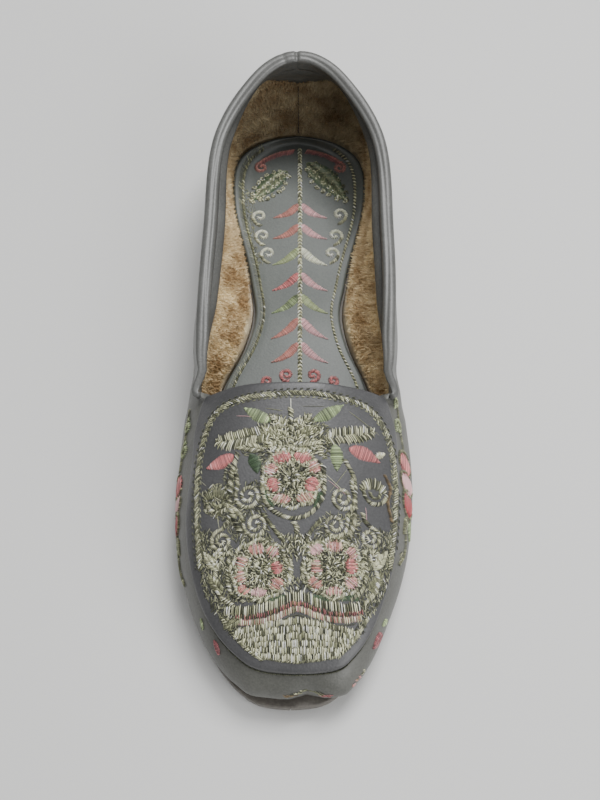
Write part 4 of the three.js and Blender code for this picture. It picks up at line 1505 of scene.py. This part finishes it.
# side, base, tip, width
HEEL_LEAVES = [(-1, (-3.6, 100.4), (-18.8, 85), 8), (1, (4, 105), (20.8, 85.4), 10)]
SCROLL_LINE, SCROLL_END = [(2.6, 110.8), (9, 109.4), (14, 107), (17, 104.6)], (16.6, 102.4)
# how far out a row of dots bows, as a share of its width, and that width
DOT_ROWS = [(-1, 4.2), (-0.4, 1.8), (0.4, 1.8), (1, 4.2)]
DOT_GAP, QUARTER_TURN = 0.8, 1.57
for side, base, tip, leaf_wide in HEEL_LEAVES:
    scroll = curve_through([(STEM_X + side * x, y) for x, y in SCROLL_LINE])
    insole_chart.rope(scroll, 2.6, "wine", lift=0.4)
    insole_chart.rope(beside(scroll, 0.5 * side), 1.2, "rose", lift=0.6)
    curl = (STEM_X + side * SCROLL_END[0], SCROLL_END[1])
    insole_chart.spiral(curl, 2.7, 1.3, QUARTER_TURN - side * 0.2, -side, 1.4, "rose")
    run = np.array(tip) - np.array(base)
    out = np.array([-run[1], run[0]]) / np.linalg.norm(run)
    insole_chart.leaf(base, tip, leaf_wide, "dark_green", side * 0.8)
    insole_chart.leaf(base, tip, leaf_wide - 1, "olive", side * 0.8)
    for row, wide in DOT_ROWS:
        for i, t in enumerate(np.linspace(0.12, 1, 8)):
            bow = out * row * wide * math.sin(math.pi * t)
            spot = np.array(base) + run * t + out * math.copysign(DOT_GAP, row) + bow
            lit = "pale_zari" if side < 0 or row < 0 else "olive"
            insole_chart.spiral(spot, 1.1, 1, 2 * i, math.copysign(1, row), 0.7, lit)
print("stitches with the heel leaves:", len(insole_chart.stitches))

# %% Insole curls and border
# x, y, way round
SIDE_CURLS = [
    (-15.4, 77, 1), (-14, 67.4, 1), (-11.6, 58.6, 1), (17.9, 78.2, -1), (16, 67.6, -1), (14.4, 58.8, -1),
]
for x, y, way in SIDE_CURLS:
    end = insole_chart.spiral((x, y), 3, 1, QUARTER_TURN + way * 1.9, -way, 1.35, "white")
    insole_chart.rope(curve_through([end, (x - way * 1.4, y - 3.4), (x + way * 0.8, y - 4.8)]), 1.4, "cream")
BORDER_START, BORDER_END = 0.1, 0.58
for side in (-1, 1):
    border = []
    for station in np.linspace(BORDER_START, BORDER_END, 60):
        y = lengthwise(FEATHER_ENDS[0] + INSOLE_INSET, FEATHER_ENDS[1] + INSOLE_INSET, station)
        half = width("feather", station) - INSOLE_INSET - CHANNEL_INSET
        border.append((level("swing", station) + side * half, y))
    lit = "bright" if side > 0 else "plait"
    insole_chart.rope(border, 1, "olive", lift=0.3, slant=1, spacing=0.6)
    insole_chart.rope(border, 0.9, lit, lift=0.55, slant=1, spacing=1.6, radius=0.26)
    if side < 0:
        inner_line = beside(np.array(border), -1.1)
        insole_chart.rope(inner_line, 1.5, "olive", lift=0.15, slant=0.8, spacing=0.95, radius=0.12)
LEFT_BORDER_FILL = [(-21.4, 92), (-17.6, 84), (-17.4, 66), (-13.6, 54), (-15.6, 53), (-20.4, 68), (-22.6, 84)]
insole_chart.tangle(LEFT_BORDER_FILL, (-19, 50), "olive", length=1.6, spacing=1)
sew("insole_embroidery", insole_chart, drape_over(insole), "insole_leather")

# %% [markdown]
# ## Stitches on the side walls
# The side walls carry a sparse garland. Here the chart's axes are the loop and profile values of the last,
# so a motif's size is turned into those units by the wall's own length and height.

# %% A chart on the wall
WALL_LOOP_MM, WALL_V_MM = 330, 62


class WallChart(Chart):
    """Takes millimetres round a centre on the wall, and adds to a chart in loop and profile values."""

    def __init__(self, chart, loop, v):
        super().__init__()
        self.stitches, self.loop, self.v = chart.stitches, loop, v

    def lay(self, a, b, colour, lift, radius=THREAD_RADIUS):
        a, b = ((self.loop + p[0] / WALL_LOOP_MM, self.v + p[1] / WALL_V_MM) for p in (a, b))
        super().lay(a, b, colour, lift, radius)


print("loop and profile values of 1 mm:", [round(1 / size, 4) for size in (WALL_LOOP_MM, WALL_V_MM)])

# %% Side garland
side_chart = Chart()
# x, y, half sizes in x and y, colour
BLOOM = [(-5.6, 1.6, 3.4, 3, "pink"), (0.6, 0.6, 3.2, 3.4, "blush"), (7.4, 0, 4.2, 3, "red")]
for loop, v, way in ((0.632, 0.36, 1), (1.352, 0.28, -1)):
    bloom = WallChart(side_chart, loop, v)
    for x, y, half_x, half_y, colour in BLOOM:
        bloom.patch(x * way, y, half_x, half_y, colour, "olive", edge_wide=0.7)
    bloom.leaf((12 * way, 0.6), (20 * way, 3), 3.2, "olive", bend=-0.4)
    bloom.leaf((12 * way, -1.6), (18.5 * way, -4.2), 3, "green", bend=0.4)
    bloom.rope(curve_through([(18 * way, 1), (25 * way, 0), (32 * way, 3)]), 1, "olive")
    bloom.rope(curve_through([(-10 * way, 2.4), (-18 * way, 5), (-28 * way, 8)]), 1, "olive")
    bloom.spiral((-16 * way, 5.4), 2.6, 1.3, 0.5, way, 0.9, "pale_green")
    bloom.spiral((-23 * way, 7.2), 2.2, 1.2, 0.5, way, 0.9, "pale_green")
print("stitches in the two blooms:", len(side_chart.stitches))

# %% Buds and bits
# loop value, profile value, colour, length
SIDE_BUDS = [
    (0.8, 0.36, "green", 5), (0.83, 0.36, "dusk", 11), (1.145, 0.42, "dusk", 6.5), (1.19, 0.4, "green", 4),
]
for loop, v, colour, size in SIDE_BUDS:
    bud = WallChart(side_chart, loop, v)
    bud.leaf((-size / 2, -1), (size / 2, 1.4), size * 0.5, colour)
# loop value, profile value, colour
SIDE_BITS = [
    (0.72, 0.40, "cream"), (0.884, 0.32, "zari"), (0.9, 0.31, "rosy"), (0.915, 0.3, "rosy"),
    (0.972, 0.29, "wine"), (0.982, 0.3, "ground"), (0.992, 0.32, "ground"), (1, 0.31, "ground"),
    (1.008, 0.3, "brown"),
]
BIT_STITCHES, BIT_LONG, BIT_HIGH = 10, 2.2, 0.9
for loop, v, colour in SIDE_BITS:
    bits = WallChart(side_chart, loop, v)
    for _ in range(BIT_STITCHES):
        x, y = (chance.uniform(-reach, reach) for reach in (BIT_LONG, BIT_HIGH))
        bits.lay((x - 0.8, y - 0.5), (x + 0.8, y + 0.5), colour, lift=0.3)
sew("side_embroidery", side_chart, on_wall, "upper_leather")

# %% [markdown]
# ## The plush
# The lining is a short golden pile. A thin sheet of the lining's shape is scattered with tufts by Geometry
# Nodes: each point gets a small three-sided cone that leans at random. The seed is fixed. Hair curves would
# do as well, but cones are plain mesh and go wherever the shoe goes. The lining's back seam comes last.

# %% Pile tree
pile, p_in, p_out = new_group(
    "PlushPile", "GeometryNodeTree",
    {
        "Geometry": ("Geometry",), "Density": ("Float", 3.0e6), "Tuft Length": ("Float", 0.0022),
        "Tuft Radius": ("Float", 0.0003), "Lean": ("Float", 0.7), "Seed": ("Int", 3), "Plush": ("Material",),
    },
    {"Geometry": ("Geometry",)},
)
scatter = node(pile, "GeometryNodeDistributePointsOnFaces")
tuft = node(pile, "GeometryNodeMeshCone", fill_type="NONE", in_Vertices=3, in_Radius_Top=0.0)
lean_back = node(pile, "ShaderNodeMath", operation="MULTIPLY")
lean_back.inputs[1].default_value = -1.0
lean_any = node(pile, "FunctionNodeRandomValue", data_type="FLOAT_VECTOR")
turned = node(pile, "FunctionNodeRotateRotation", rotation_space="LOCAL")
size_any = node(pile, "FunctionNodeRandomValue", data_type="FLOAT")
size_any.inputs[2].default_value, size_any.inputs[3].default_value = 0.6, 1.25
planted = node(pile, "GeometryNodeInstanceOnPoints")
grown = node(pile, "GeometryNodeRealizeInstances")
dyed = node(pile, "GeometryNodeSetMaterial")
wire(
    pile,
    (p_in, "Geometry", scatter, "Mesh"), (p_in, "Density", scatter, "Density"),
    (p_in, "Seed", scatter, "Seed"), (p_in, "Tuft Length", tuft, "Depth"),
    (p_in, "Tuft Radius", tuft, "Radius Bottom"),
    (p_in, "Lean", lean_back, 0), (lean_back, 0, lean_any, 0), (p_in, "Lean", lean_any, 1),
    (p_in, "Seed", lean_any, "Seed"), (p_in, "Seed", size_any, "Seed"),
    (scatter, "Rotation", turned, "Rotation"), (lean_any, 0, turned, "Rotate By"),
    (scatter, "Points", planted, "Points"), (tuft, "Mesh", planted, "Instance"),
    (turned, "Rotation", planted, "Rotation"), (size_any, 1, planted, "Scale"),
    (planted, "Instances", grown, "Geometry"), (grown, "Geometry", dyed, "Geometry"),
    (p_in, "Plush", dyed, "Material"), (dyed, "Geometry", p_out, "Geometry"),
)

# %% Grow the pile on the lining
PILE_REACH, PILE_STEPS, PILE_ROWS = 0.64, 160, 14
PILE_TOP, PILE_VAMP_TOP, PILE_TUCK, PILE_CLEARANCE = 6, 0.62, 0.8, 0.02
PILE_FOOT, PILE_HEEL_FOOT = 0.035, 0.07
pile_grid = []
for loop in spread(-PILE_REACH, PILE_REACH, PILE_STEPS):
    top_v = PILE_VAMP_TOP
    if abs(loop) < BINDING_END:
        top_v = drop_to_v(loop, max(facing_depth(loop) - PILE_TUCK, PILE_TOP))
    foot_v = PILE_FOOT + (PILE_HEEL_FOOT - PILE_FOOT) * turned_up(abs(loop))
    pile_grid.append([shell(loop, v, -WALL - PILE_CLEARANCE) for v in spread(foot_v, top_v, PILE_ROWS)])
rows, columns = len(pile_grid), len(pile_grid[0])
pile_points = [tuple(p * MM) for line in pile_grid for p in line]
pile_faces = [
    (i * columns + j, i * columns + j + 1, (i + 1) * columns + j + 1, (i + 1) * columns + j)
    for i in range(rows - 1) for j in range(columns - 1)
]
pile_mesh = bpy.data.meshes.new("plush_pile")
pile_mesh.from_pydata(pile_points, [], pile_faces)
inside_point = Vector((0, 40 * MM, 30 * MM))
middle_face = pile_mesh.polygons[len(pile_mesh.polygons) // 2]
if middle_face.normal.dot(inside_point - middle_face.center) < 0:
    pile_mesh.flip_normals()
plush = add_object("plush_pile", pile_mesh)
run_tree(plush, pile, Plush=PLUSH)
place_piece(plush, "upper_leather")

# %% Back seam of the lining
SEAM_DEPTH, SEAM_FOOT, SEAM_STITCHES, SEAM_SLANT = -WALL - 1.7, 0.08, 16, 0.001


def on_back_lining(loop, v, height):
    return Vector(shell(loop, v, SEAM_DEPTH - height) * MM)


back_seam = Chart()
seam_rows = spread(SEAM_FOOT, drop_to_v(0, facing_depth(0)), SEAM_STITCHES)
for v0, v1 in zip(seam_rows, seam_rows[1:]):
    back_seam.lay((SEAM_SLANT, v0), (-SEAM_SLANT, v1), "brown", lift=0.2, radius=0.25)
sew("back_seam", back_seam, on_back_lining, "upper_leather")

# %% [markdown] The box round the finished shoe should be the frame's box with a little
# thread added.
